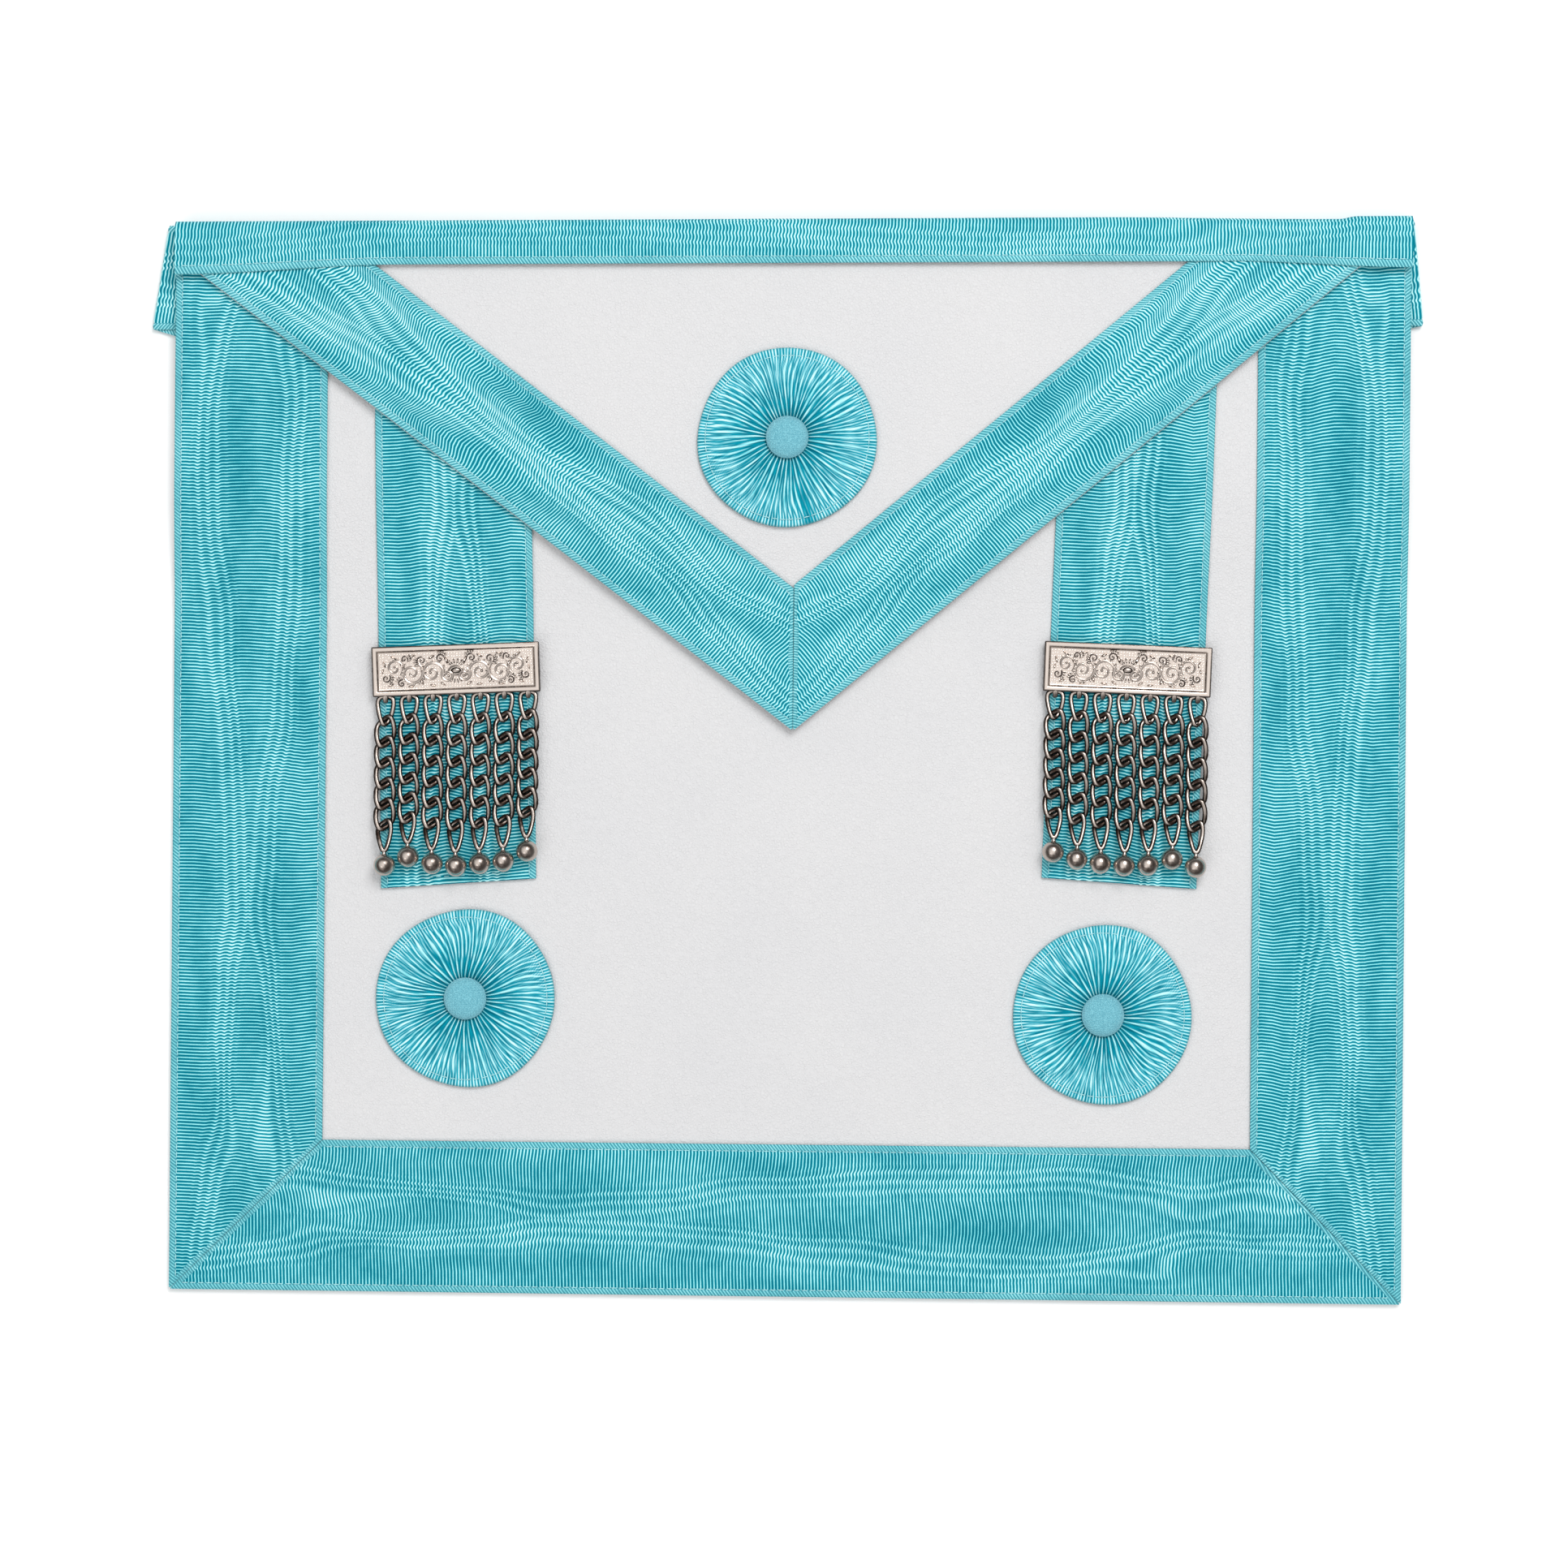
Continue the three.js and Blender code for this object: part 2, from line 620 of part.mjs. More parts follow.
// The same chain as a plain flattened tube of its outer width, between its hook and its ball
function tubeGeometry(joints) {
  const hookTip = hookRingY - linkWire / 2 - clearance - hookBar;
  const last = joints[joints.length - 1];
  const start = new Vector3(joints[0].x, hookTip - clearance, 0);
  const end = new Vector3(last.x, last.y, 0);
  const tube = new THREE.ExtrudeGeometry(ngon(linkWidth / 2 / Math.cos(Math.PI / tubeSides), tubeSides), {
    steps: tubeSteps,
    extrudePath: new THREE.LineCurve3(start, end),
  });
  return tube.scale(1, 1, tubeHeight / linkWidth).translate(0, 0, tubeHeight / 2);
}

function addTassel(tassel) {
  const { side, across, turn, sway, linked } = tassel;
  addTasselRibbon(tassel);
  const hanging = new THREE.Group();
  // The slide lies flat, as high as the ribbon is beneath its upper corners
  const upperCorner = slideY + slideHeight / 2 + (slideLength / 2) * Math.sin(Math.abs(turn) * degree);
  hanging.position.set(across, slideY, tasselLevel + lift(upperCorner));
  hanging.rotation.z = turn * degree;
  apron.add(hanging);
  add(hanging, `slide_${side}`, slideGeometry(), plated);
  const drops = ballDrops[side];
  for (let i = 0; i < chainCount; i += 1) {
    const joints = chainJoints(chainAcross(i), drops[i % drops.length], sway);
    const chain = linked ? chainGeometry(joints) : tubeGeometry(joints);
    add(hanging, `chain_${side}_${i + 1}`, chain, plated);
    const foot = joints[joints.length - 1];
    const below = joinDepth * linkWire + linkWire / 2 + clearance;
    const ball = add(
      hanging,
      `ball_${side}_${i + 1}`,
      new THREE.SphereGeometry(ballDiameter / 2, ballSides, ballRings),
      plated,
    );
    ball.position.set(foot.x, foot.y - below - ballDiameter / 2, ballDiameter / 2);
  }
}

// Rosette: a pleated disc, and a domed button in its middle
function rosetteGeometry() {
  const around = 2 * rosettePleats;
  const points = [new Vector3(0, 0, buttonSeat), new Vector3(0, 0, 0)];
  const ring = (radius, heightAt) => {
    for (let i = 0; i < around; i += 1) {
      const angle = (2 * Math.PI * i) / around;
      points.push(new Vector3(radius * Math.cos(angle), radius * Math.sin(angle), heightAt(i)));
    }
  };
  rosetteRings.forEach(({ radius, height, pleat }) => {
    const fold = (i) => (i % 2 ? -pleat * pleatDepth : 0);
    ring((radius * rosetteDiameter) / 2, (i) => height * rosetteCrown + fold(i));
  });
  ring(rosetteDiameter / 2, () => 0);
  ring((undersideRing * rosetteDiameter) / 2, () => 0);
  const bands = rosetteRings.length + 1;
  const triangles = [];
  for (let i = 0; i < around; i += 1) {
    const next = (i + 1) % around;
    const at = (band, k) => 2 + band * around + k;
    triangles.push([0, at(0, i), at(0, next)], [1, at(bands, next), at(bands, i)]);
    for (let band = 0; band < bands; band += 1) {
      triangles.push([at(band, i), at(band + 1, i), at(band + 1, next)]);
      triangles.push([at(band, i), at(band + 1, next), at(band, next)]);
    }
  }
  return closedMesh(points, triangles);
}

function buttonGeometry() {
  const profile = buttonRings.map(({ radius, height }) => (
    new THREE.Vector2((radius * buttonDiameter) / 2, height * buttonHeight)
  ));
  return new THREE.LatheGeometry(profile, buttonSides).rotateX(Math.PI / 2);
}

function addRosette(name, x, y, level) {
  const disc = rosetteGeometry().translate(x, y, level);
  const button = buttonGeometry().translate(x, y, level + buttonSeat + clearance);
  add(apron, `rosette_${name}`, lay(disc), moire);
  add(apron, `button_${name}`, lay(button), covered);
}

// One rosette nestles between the flap's arms, and one lies below the hem of each tassel ribbon.
function addRosettes() {
  const radius = rosetteDiameter / 2;
  const armReach = (flapRibbonWidth + rosetteArmGap + radius) / Math.cos(flapRiseLeft * degree);
  addRosette('flap', rosetteAcross, flapPoint + armReach, armLevel);
  lowerRosettes.forEach(({ name, across, belowHem }) => {
    addRosette(name, across, tasselFoot - belowHem - radius, borderLevel);
  });
}

addBody();
addBorders();
addBand();
addFlap();
addBelt();
tassels.forEach(addTassel);
addRosettes();

// The whole is moved so that the origin is under its middle.
const box = new THREE.Box3().setFromObject(apron);
const middle = box.getCenter(new Vector3());
apron.position.set(-middle.x, -middle.y, -box.min.z);

export default apron;
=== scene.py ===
# %% [markdown]
# # A masonic apron, face up on a table
#
# The real apron is white leather bordered with sky-blue moire ribbon. A pointed flap with two ribbon
# arms folds over its top, two tassels of plated chain hang over it, and three gathered rosettes sit on
# it. This lesson dresses the plain solids of the apron: it loads them as a fixed frame, and makes every
# sheet, chain and rosette anew in the place that its solid holds. Lengths are worked out in
# millimetres, as a sewer or a jeweller would give them, and become metres where a mesh is made.

import math

import bpy
import numpy as np
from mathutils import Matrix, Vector


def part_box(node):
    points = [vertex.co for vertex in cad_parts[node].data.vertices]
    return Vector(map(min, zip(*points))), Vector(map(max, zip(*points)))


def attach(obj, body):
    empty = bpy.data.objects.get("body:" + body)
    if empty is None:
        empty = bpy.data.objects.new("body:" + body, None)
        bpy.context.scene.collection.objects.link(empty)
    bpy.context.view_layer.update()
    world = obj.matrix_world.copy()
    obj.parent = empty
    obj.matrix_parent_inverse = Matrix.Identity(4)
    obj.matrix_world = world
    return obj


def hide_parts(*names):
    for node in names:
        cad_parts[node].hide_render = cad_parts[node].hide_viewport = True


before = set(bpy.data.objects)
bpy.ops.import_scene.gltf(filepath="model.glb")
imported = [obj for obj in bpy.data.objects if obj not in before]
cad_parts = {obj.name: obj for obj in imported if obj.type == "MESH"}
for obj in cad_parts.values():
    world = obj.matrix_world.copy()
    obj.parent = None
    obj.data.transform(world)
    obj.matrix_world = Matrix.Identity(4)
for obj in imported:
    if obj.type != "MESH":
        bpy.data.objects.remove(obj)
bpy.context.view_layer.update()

# %% [markdown]
# ## Camera, floor and light
#
# The photograph looks straight down on the apron, with little perspective, so a long lens stands well
# above it. The floor is plain and white, and so wide that its edge shows in no view. A wide lamp
# beyond the upper right corner gives the soft shadows below each layer, a weaker one stands opposite,
# and a sky fills the rest. It is brightest overhead and a third as bright at the horizon, which gives
# rounded metal its darker sides, as a studio's walls do.

# %% Camera
MM = 0.001
PICTURE_SIDE = 514.7
LENS = 100
SENSOR = 36
AIM = (-1.3, -7.6)
FACE_LEVEL = 4

camera_data = bpy.data.cameras.new("camera")
camera_data.lens = LENS
camera_data.sensor_width = SENSOR
camera = bpy.data.objects.new("camera", camera_data)
camera_height = PICTURE_SIDE * LENS / SENSOR + FACE_LEVEL
camera.location = (AIM[0] * MM, AIM[1] * MM, camera_height * MM)
bpy.context.scene.collection.objects.link(camera)
bpy.context.scene.camera = camera
print("camera height in mm:", round(camera_height))

# %% Floor and lights
FLOOR_SIDE = 12000
FLOOR_DROP = 0.4
LAMPS = (
    {"name": "window", "place": (0.5, 1.05, 1.8), "size": 1.0, "power": 25},
    {"name": "fill", "place": (-0.9, -1.3, 1.6), "size": 1.4, "power": 9},
)
SKY = ((0.0, 0.4), (0.45, 0.42), (0.8, 0.95), (1.0, 1.25))
SKY_STRENGTH = 0.99

bpy.ops.object.select_all(action="DESELECT")
bpy.ops.mesh.primitive_plane_add(size=FLOOR_SIDE * MM, location=(0, 0, -FLOOR_DROP * MM))
floor = bpy.context.object
floor.name = "floor"


def lamp(name, place, size, power):
    """A square soft lamp, in metres and watts, turned to face the apron."""
    data = bpy.data.lights.new(name, "AREA")
    data.size = size
    data.energy = power
    holder = bpy.data.objects.new(name, data)
    holder.location = place
    holder.rotation_euler = (-Vector(place)).to_track_quat("-Z", "Y").to_euler()
    bpy.context.scene.collection.objects.link(holder)


for row in LAMPS:
    lamp(**row)
world = bpy.data.worlds.new("room")
bpy.context.scene.world = world
world.use_nodes = True
sky_nodes, sky_links = world.node_tree.nodes, world.node_tree.links
compass = sky_nodes.new("ShaderNodeTexCoord")
height = sky_nodes.new("ShaderNodeSeparateXYZ")
sky = sky_nodes.new("ShaderNodeValToRGB")
for index, (place, light) in enumerate(SKY):
    stop = sky.color_ramp.elements[index] if index < 2 else sky.color_ramp.elements.new(place)
    stop.position = place
    stop.color = (light, light, light, 1)
sky_links.new(compass.outputs["Generated"], height.inputs[0])
sky_links.new(height.outputs["Z"], sky.inputs["Fac"])
sky_links.new(sky.outputs["Color"], sky_nodes["Background"].inputs["Color"])
sky_nodes["Background"].inputs["Strength"].default_value = SKY_STRENGTH
bpy.context.scene.view_settings.view_transform = "Standard"
print("lamps:", len(LAMPS), "and a sky of", len(SKY), "stops")

# %% [markdown]
# ## Shader arithmetic
#
# A finish is a node tree. Two small classes make it read like a sum: `Amount` stands for a number
# that changes over a surface, and adds a Math node for every sign that is used on it. `Finish` is the
# material itself, with one method that adds any other node.


# %% Shader classes
class Amount:
    """A number that changes over a surface."""

    def __init__(self, finish, socket):
        self.finish = finish
        self.socket = socket

    def math(self, operation, *others, first=None):
        values = [self if first is None else first, *others]
        if first is not None:
            values.append(self)
        return self.finish.add("Math", {"operation": operation}, dict(enumerate(values)))

    def __add__(self, other):
        return self.math("ADD", other)

    def __radd__(self, other):
        return self.math("ADD", other)

    def __sub__(self, other):
        return self.math("SUBTRACT", other)

    def __rsub__(self, other):
        return self.math("SUBTRACT", first=other)

    def __mul__(self, other):
        return self.math("MULTIPLY", other)

    def __rmul__(self, other):
        return self.math("MULTIPLY", other)

    def __truediv__(self, other):
        return self.math("DIVIDE", other)

    def __rtruediv__(self, other):
        return self.math("DIVIDE", first=other)

    def __pow__(self, other):
        return self.math("POWER", other)

    def wave(self):
        """0 to 1 and back, once for every whole number."""
        turned = (self * math.tau).math("COSINE")
        return turned * -0.5 + 0.5

    def least(self, other):
        return self.math("MINIMUM", other)

    def rise(self, low, high):
        """Smooth step from 0 at low to 1 at high."""
        settings = {"interpolation_type": "SMOOTHSTEP"}
        return self.finish.add("MapRange", settings, {0: self, 1: low, 2: high, 3: 0, 4: 1})


def colour(red, green, blue):
    """Linear colour of a screen colour given from 0 to 255."""
    parts = [c / 255 for c in (red, green, blue)]
    linear = [c / 12.92 if c <= 0.04045 else ((c + 0.055) / 1.055) ** 2.4 for c in parts]
    return (*linear, 1)


class Finish:
    """A material built on the Principled shader. The settings are the same all over the surface."""

    def __init__(self, name, **settings):
        self.material = bpy.data.materials.new(name)
        self.material.use_nodes = True
        self.tree = self.material.node_tree
        self.shader = self.tree.nodes["Principled BSDF"]
        for key, value in settings.items():
            self.shader.inputs[key.replace("_", " ")].default_value = value

    def add(self, kind, settings, inputs, output=0):
        node = self.tree.nodes.new("ShaderNode" + kind)
        for key, value in settings.items():
            setattr(node, key, value)
        for key, value in inputs.items():
            if isinstance(value, Amount):
                self.tree.links.new(value.socket, node.inputs[key])
            else:
                node.inputs[key].default_value = value
        return Amount(self, node.outputs[output])

    def mix(self, share, first, second):
        settings = {"data_type": "RGBA"}
        return self.add("Mix", settings, {0: share, 6: first, 7: second}, output=2)

    def noise(self, place, scale, detail=2, roughness=0.5):
        inputs = {"Vector": place, "Scale": scale, "Detail": detail, "Roughness": roughness}
        return self.add("TexNoise", {}, inputs)

    def cells(self, place, scale, feature="F1"):
        return self.add("TexVoronoi", {"feature": feature}, {"Vector": place, "Scale": scale})

    def place(self):
        return self.add("TexCoord", {}, {}, output=3)

    def parts(self, vector):
        separate = self.add("SeparateXYZ", {}, {0: vector})
        outputs = separate.socket.node.outputs
        return [Amount(self, outputs[i]) for i in range(3)]

    def vector(self, x, y, z=0.0):
        return self.add("CombineXYZ", {}, {0: x, 1: y, 2: z})

    def attribute(self, name):
        return self.add("Attribute", {"attribute_name": name}, {}, output=2)

    def feed(self, **values):
        for key, value in values.items():
            self.tree.links.new(value.socket, self.shader.inputs[key.replace("_", " ")])

    def bump(self, height, distance, strength=1.0):
        """Relief that the light sees but the outline doesn't; distance is in millimetres."""
        inputs = {"Strength": strength, "Distance": distance * MM, "Height": height}
        self.feed(Normal=self.add("Bump", {}, inputs))


# %% [markdown]
# ## Floor finish
#
# The floor is a sheet of white card. It could be a plain white shader, but a trace of mottle keeps
# it from being a dead flat colour.

# %% Floor card
card = Finish("white_card", Roughness=0.9)
mottle = card.noise(card.place(), 3, 3)
card.feed(Base_Color=card.mix(mottle, (0.86, 0.86, 0.86, 1), (0.9, 0.9, 0.9, 1)))
floor.data.materials.append(card.material)

# %% [markdown]
# ## Moire finish
#
# Moire is ribbed ribbon pressed against itself, so that its ribs are crushed in long wavy streaks.
# Each ribbon here carries a UV map in millimetres: U across the ribbon and V along it, counted so
# that every rib lies at a whole multiple of the pitch. The shader paints light and shade into each
# rib's colour: a painted highlight on the crest and painted shade in the valley. Slow noise, stretched
# along the ribbon, decides where the crests get a whiter painted sheen and the valleys a deeper
# painted shade. A `margin` attribute says how far it is to the ribbon's edge, where the weave of the
# selvedge is tighter and darker. A picture of moire would repeat and blur close up; drawn by rule,
# every rib is its own and stays sharp.

# %% Moire
PITCH = 1.1
SELVEDGE = 2.1


def moire(name, width, path, swing, streaks, patches, bias):
    """A rib-by-rib finish. Two bundles of crushed streaks wander along the ribbon, on either side of
    its middle: path is how far out they run and swing how much that changes, in millimetres. streaks
    and patches say how strong each is, and bias how light the whole ribbon is."""
    cloth = Finish("moire_" + name, Roughness=0.42, Specular_IOR_Level=0.03)
    uv = cloth.add("UVMap", {"uv_map": "weave"}, {})
    across, along, _ = cloth.parts(uv)
    margin = cloth.attribute("margin")
    drift = cloth.noise(cloth.vector(across / 24, along / 60), 1, 1)
    from_middle = (across - width / 2).math("ABSOLUTE")
    wander = (along / 46 + drift * 4).math("SINE")
    away = from_middle - wander * swing - path + (drift - 0.5) * 6
    bundle = 1 - away.math("ABSOLUTE").rise(2.5, 8)
    streak = (away / 3.2 + 0.5).wave() ** 1.5 * bundle
    dashes = cloth.noise(cloth.vector(across / 4.5, along / 1.5), 1, 1)
    patch = cloth.noise(cloth.vector(across / 13, along / 36), 1, 2)
    fine = cloth.noise(cloth.vector(across / 0.4, along / 0.7), 1, 1)
    # Painted sheen: where the crushed streaks and the patches lie, crests and valleys are drawn lighter.
    light = (streak - 0.2) * streaks + (dashes - 0.5) * 0.35 + (patch - 0.5) * patches
    light = (light + (fine - 0.5) * 0.15 + 0.5 + bias).rise(0.0, 1.0)
    rib = ((along + streak * 0.35) / PITCH).wave()
    whip = ((along + across * 0.75) / PITCH).wave()
    edge = 1 - margin.rise(SELVEDGE - 0.25, SELVEDGE + 0.25)
    ridge = rib + (whip - rib) * edge
    # Painted light and shade: each crest is drawn in a lit colour and each valley in a shaded one.
    high = cloth.mix(light, LIT_CREST, SHEEN_CREST)
    low = cloth.mix(light, DEEP_SHADED_VALLEY, SHADED_VALLEY)
    face = cloth.mix((ridge + (light - 0.5) * 0.35).rise(0.45, 1.0), low, high)
    cloth.feed(Base_Color=cloth.mix(edge * 0.35, face, SELVEDGE_TINT))
    cloth.feed(Roughness=0.34 + 0.25 * (1 - ridge))
    thread = (across / 0.28).wave()
    cloth.bump(ridge * 0.7 + thread * 0.1 + fine * 0.12, 0.2, 0.5)
    return cloth.material


LIT_CREST = colour(86, 214, 222)
SHEEN_CREST = colour(204, 251, 251)
SHADED_VALLEY = colour(0, 142, 160)
DEEP_SHADED_VALLEY = colour(0, 96, 117)
SELVEDGE_TINT = colour(116, 190, 199)
MOIRES = (
    {"name": "border", "width": 50, "path": 9, "swing": 5, "streaks": 0.26, "patches": 0.65, "bias": -0.02},
    {"name": "band", "width": 28, "path": 5, "swing": 3, "streaks": 0.16, "patches": 0.6, "bias": 0.05},
    {"name": "arm", "width": 37, "path": 6, "swing": 5, "streaks": 0.25, "patches": 0.8, "bias": 0.08},
    {"name": "tassel", "width": 51, "path": 8, "swing": 5, "streaks": 0.34, "patches": 0.7, "bias": 0.03},
)
border_moire, band_moire, arm_moire, tassel_moire = (moire(**row) for row in MOIRES)

# %% [markdown]
# ## Leather finish
#
# The apron and its flap are white tawed leather. Its grain is a net of tiny pebbles about a
# millimetre across, over a slow change of tone where hands have smoothed it. Grain this fine would
# need millions of faces, so cells and noise give it as bump at its real scale.

# %% Leather
leather = Finish("white_leather", Roughness=0.55, Specular_IOR_Level=0.3)
spot = leather.place()
tone = leather.noise(spot, 22, 4, 0.6)
pores = leather.cells(spot, 1000, "DISTANCE_TO_EDGE").rise(0.0, 0.3)
pebble = leather.noise(spot, 650, 3)
leather_base = leather.mix(tone, colour(201, 201, 203), colour(211, 210, 210))
leather.feed(Base_Color=leather.mix((1 - pores) * 0.15, leather_base, colour(188, 188, 190)))
leather.feed(Roughness=0.5 + 0.2 * tone)
leather.bump(pores * 0.3 + pebble * 0.9, 0.45, 0.7)

# %% [markdown]
# ## Thread, covered buttons and plated metal
#
# The stitches are pale silk thread. The buttons are covered in matt cloth with a fine speckle. The
# metal is cast and silver plated, and one vertex attribute darkens it: on the slides, tarnish with
# painted shade round the foot of the ornament, a painted shadow along the foot of the rim, painted
# shade on the outer edges and darker hooks; on chains and balls, a painted highlight, painted shade
# and painted reflection by which way the metal faces. Noise alone couldn't know those places, so
# each mesh marks them, and one finish serves all the metal.

# %% Small finishes
silk = Finish("silk_thread", Roughness=0.5, Sheen_Weight=0.3)
twist = silk.noise(silk.place(), 4000, 1)
silk.feed(Base_Color=silk.mix(twist, colour(126, 200, 208), colour(190, 240, 244)))

covered = Finish("covered_button", Roughness=0.8, Sheen_Weight=0.35)
speck_place = covered.place()
specks = covered.noise(speck_place, 2600, 3, 0.7).rise(0.35, 0.65)
cross_x, cross_y, _ = covered.parts(speck_place)
weave = ((cross_x * 1700).wave() + (cross_y * 1700).wave()) * 0.5
covered_face = covered.mix(specks * 0.75 + weave * 0.25, colour(74, 150, 168), colour(128, 198, 211))
covered.feed(Base_Color=covered_face)
covered.bump(weave + specks, 0.12, 0.6)

plate = Finish("silver_plate", Metallic=1.0, Roughness=0.3)
plate_place = plate.place()
# Tarnish and painted light: one attribute says how dark the metal is drawn, from tarnish in hollows and
# from painted shade, shadow and reflection.
tarnish_and_shade = plate.attribute("tarnish_and_shade")
stain = plate.noise(plate_place, 420, 3, 0.6)
tarnish_and_shade_share = (tarnish_and_shade * (0.75 + 0.5 * stain)).least(1)
plate.feed(Base_Color=plate.mix(tarnish_and_shade_share, colour(208, 196, 187), colour(48, 38, 33)))
plate.feed(Roughness=0.15 + 0.12 * stain + 0.06 * tarnish_and_shade)
grit = plate.noise(plate_place, 2400, 2)
plate.bump(grit, 0.05, 0.25)
print("finishes:", len(bpy.data.materials))

# %% [markdown]
# ## How the apron lies
#
# The apron is cut straight but doesn't lie straight: its sides lean a little, its top and bottom
# edges slope, and its upper part climbs on to the belt ribbon that runs beneath it. Flat-cut points
# go through one function that leans, slopes and lifts them. Bending each piece by itself would let
# the layers drift apart; this way every layer stays on the next.

# %% Laying
WIDTH = 405
HEIGHT = 354
HALF = WIDTH / 2
TOP = HEIGHT / 2
SIDE_LEAN = 0.0088
TOP_SLOPE = 0.0047
BOTTOM_SLOPE = -0.013
CLIMB = 3.9
CLIMB_FROM = 41.7
CLIMB_TO = 91.7
LEATHER_INSET = 0.8
SHEET_TOP = TOP - 3.75


def step(x, low, high):
    """Smooth step from 0 at low to 1 at high, on numbers or arrays."""
    t = np.clip((np.asarray(x, float) - low) / (high - low), 0, 1)
    return t * t * (3 - 2 * t)


def lift(y):
    return CLIMB * step(y, CLIMB_FROM, CLIMB_TO)


def lay(points, climb=True):
    """Flat-cut points to how they lie; x, y and z in millimetres, in the last axis."""
    x, y, z = points[..., 0], points[..., 1], points[..., 2]
    slope = BOTTOM_SLOPE + (TOP_SLOPE - BOTTOM_SLOPE) * (y + TOP) / HEIGHT
    up = lift(y) if climb else 0
    return np.stack([x + SIDE_LEAN * y, y + slope * x, z + up], -1)


laid_corner = lay(np.array([HALF - LEATHER_INSET, SHEET_TOP, 0.0]))
body_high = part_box("apron_body")[1]
SHIFT = np.array([body_high.x / MM - laid_corner[0], body_high.y / MM - laid_corner[1], 0])
print("the frame's origin lies at", np.round(-SHIFT[:2], 2), "of the flat cut")

# %% [markdown]
# ## Making meshes
#
# A cloth sheet is a dense grid of rows and columns on top, a plain underside, and thin walls round
# it, so that it is a closed body of its real thickness. A plane with a Solidify modifier could give
# the same wall, but it would double every face below, where none is seen.


# %% Mesh helpers
def mesh_of(name, points, faces, material, smooth=None):
    """Object from points in millimetres; smooth is how many of its faces, from the first, are
    shaded round, or all where it isn't given."""
    mesh = bpy.data.meshes.new(name)
    mesh.from_pydata((np.asarray(points) * MM).tolist(), [], faces)
    smooth = len(faces) if smooth is None else smooth
    mesh.polygons.foreach_set("use_smooth", np.arange(len(faces)) < smooth)
    mesh.materials.append(material)
    mesh.update()
    made = bpy.data.objects.new(name, mesh)
    bpy.context.scene.collection.objects.link(made)
    return made


def keep(piece, slot, *nodes):
    """The piece rides on the frame and stands for CAD nodes, which are hidden; slot is not used."""
    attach(piece, "root")
    if nodes:
        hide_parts(*nodes)
    return piece


def cut_to(piece, width, length, held, *rests, area=None):
    """Works out the cut's sizes in metres and keeps none of them; piece, held and rests are not used."""
    area = None if area is None else area * MM * MM
    width * MM
    length * MM


def weave_map(mesh, across, along):
    """UV map in millimetres, from one pair of values a vertex."""
    layer = mesh.uv_layers.new(name="weave")
    corners = np.empty(len(mesh.loops), np.int32)
    mesh.loops.foreach_get("vertex_index", corners)
    pairs = np.stack([across, along], -1)[corners]
    layer.data.foreach_set("uv", pairs.astype(np.float32).ravel())


def mark(mesh, name, values):
    layer = mesh.attributes.new(name, "FLOAT", "POINT")
    layer.data.foreach_set("value", np.asarray(values, np.float32))


def sheet_faces(rows, columns, kept):
    """Faces of a closed sheet; its underside has every row, and the kept ones of the columns."""
    r, c = np.meshgrid(np.arange(rows - 1), np.arange(columns - 1), indexing="ij")
    i = (r * columns + c).ravel()
    top = np.stack([i, i + 1, i + columns + 1, i + columns], -1).tolist()
    base, few = rows * columns, len(kept)
    rest = []
    for k in range(rows - 1):
        j = base + k * few
        rest += [[j + m, j + few + m, j + few + m + 1, j + m + 1] for m in range(few - 1)]
        rest.append([k * columns, (k + 1) * columns, j + few, j])
        end = (k + 1) * columns - 1
        rest.append([end, j + few - 1, j + 2 * few - 1, end + columns])
    last = (rows - 1) * columns
    foot = base + (rows - 1) * few
    for m in range(few - 1):
        span = list(range(kept[m], kept[m + 1] + 1))
        rest.append(span[::-1] + [base + m, base + m + 1])
        rest.append([last + k for k in span] + [foot + m + 1, foot + m])
    return top, rest


def sheet_object(name, over, under, material, weave=None, kept=None):
    """Closed sheet from two grids of points, the upper and the lower face of the cloth."""
    rows, columns = over.shape[:2]
    kept = [0, columns - 1] if kept is None else kept
    top, rest = sheet_faces(rows, columns, kept)
    points = np.concatenate([over.reshape(-1, 3), under[:, kept].reshape(-1, 3)]) + SHIFT
    made = mesh_of(name, points, top + rest, material, len(top))
    if weave is not None:
        spread = [np.concatenate([v.ravel(), v[:, kept].ravel()]) for v in weave]
        weave_map(made.data, spread[0], spread[1])
        mark(made.data, "margin", spread[2])
    return made


def triangles(piece):
    return sum(len(p.vertices) - 2 for p in piece.data.polygons)


def skyward(points):
    """The upward direction, once for every point."""
    return np.broadcast_to([0.0, 0.0, 1.0], points.shape)


# %% [markdown]
# ## Ribbon
#
# Every ribbon on the apron is the same stuff: ribs across it about a millimetre apart, a selvedge
# down each side, and a line of stitches just inside it. One function weaves them all. It is given
# the stations of its rows, the limits of each row where the ribbon is cut slanting, and a rule that
# places a point of the ribbon in space. Four rows make one rib, or two where the ribbon is hidden, and
# the rows bend in the slow wave that moire shows. Relief could be left to bump, but then the ribs
# would vanish from the side and at the cloth's edge, so it is real geometry, and no rib breaks.

# %% Ribbon weaving
RIBBON = 1.0
RIB_HEIGHT = 0.2
STITCH_IN = 2.2
EDGE_COLUMNS = (0, 0.35, 1.0, 1.8, 2.2, 2.6, 3.4)
THINNEST = 0.25


def columns_of(width, spacing):
    """Places across a ribbon, closer at its edges where it is rounded and stitched."""
    inner = width - 2 * EDGE_COLUMNS[-1]
    count = max(2, round(inner / spacing))
    middle = EDGE_COLUMNS[-1] + inner * np.arange(1, count) / count
    left = np.array(EDGE_COLUMNS)
    return np.concatenate([left, middle, width - left[::-1]])


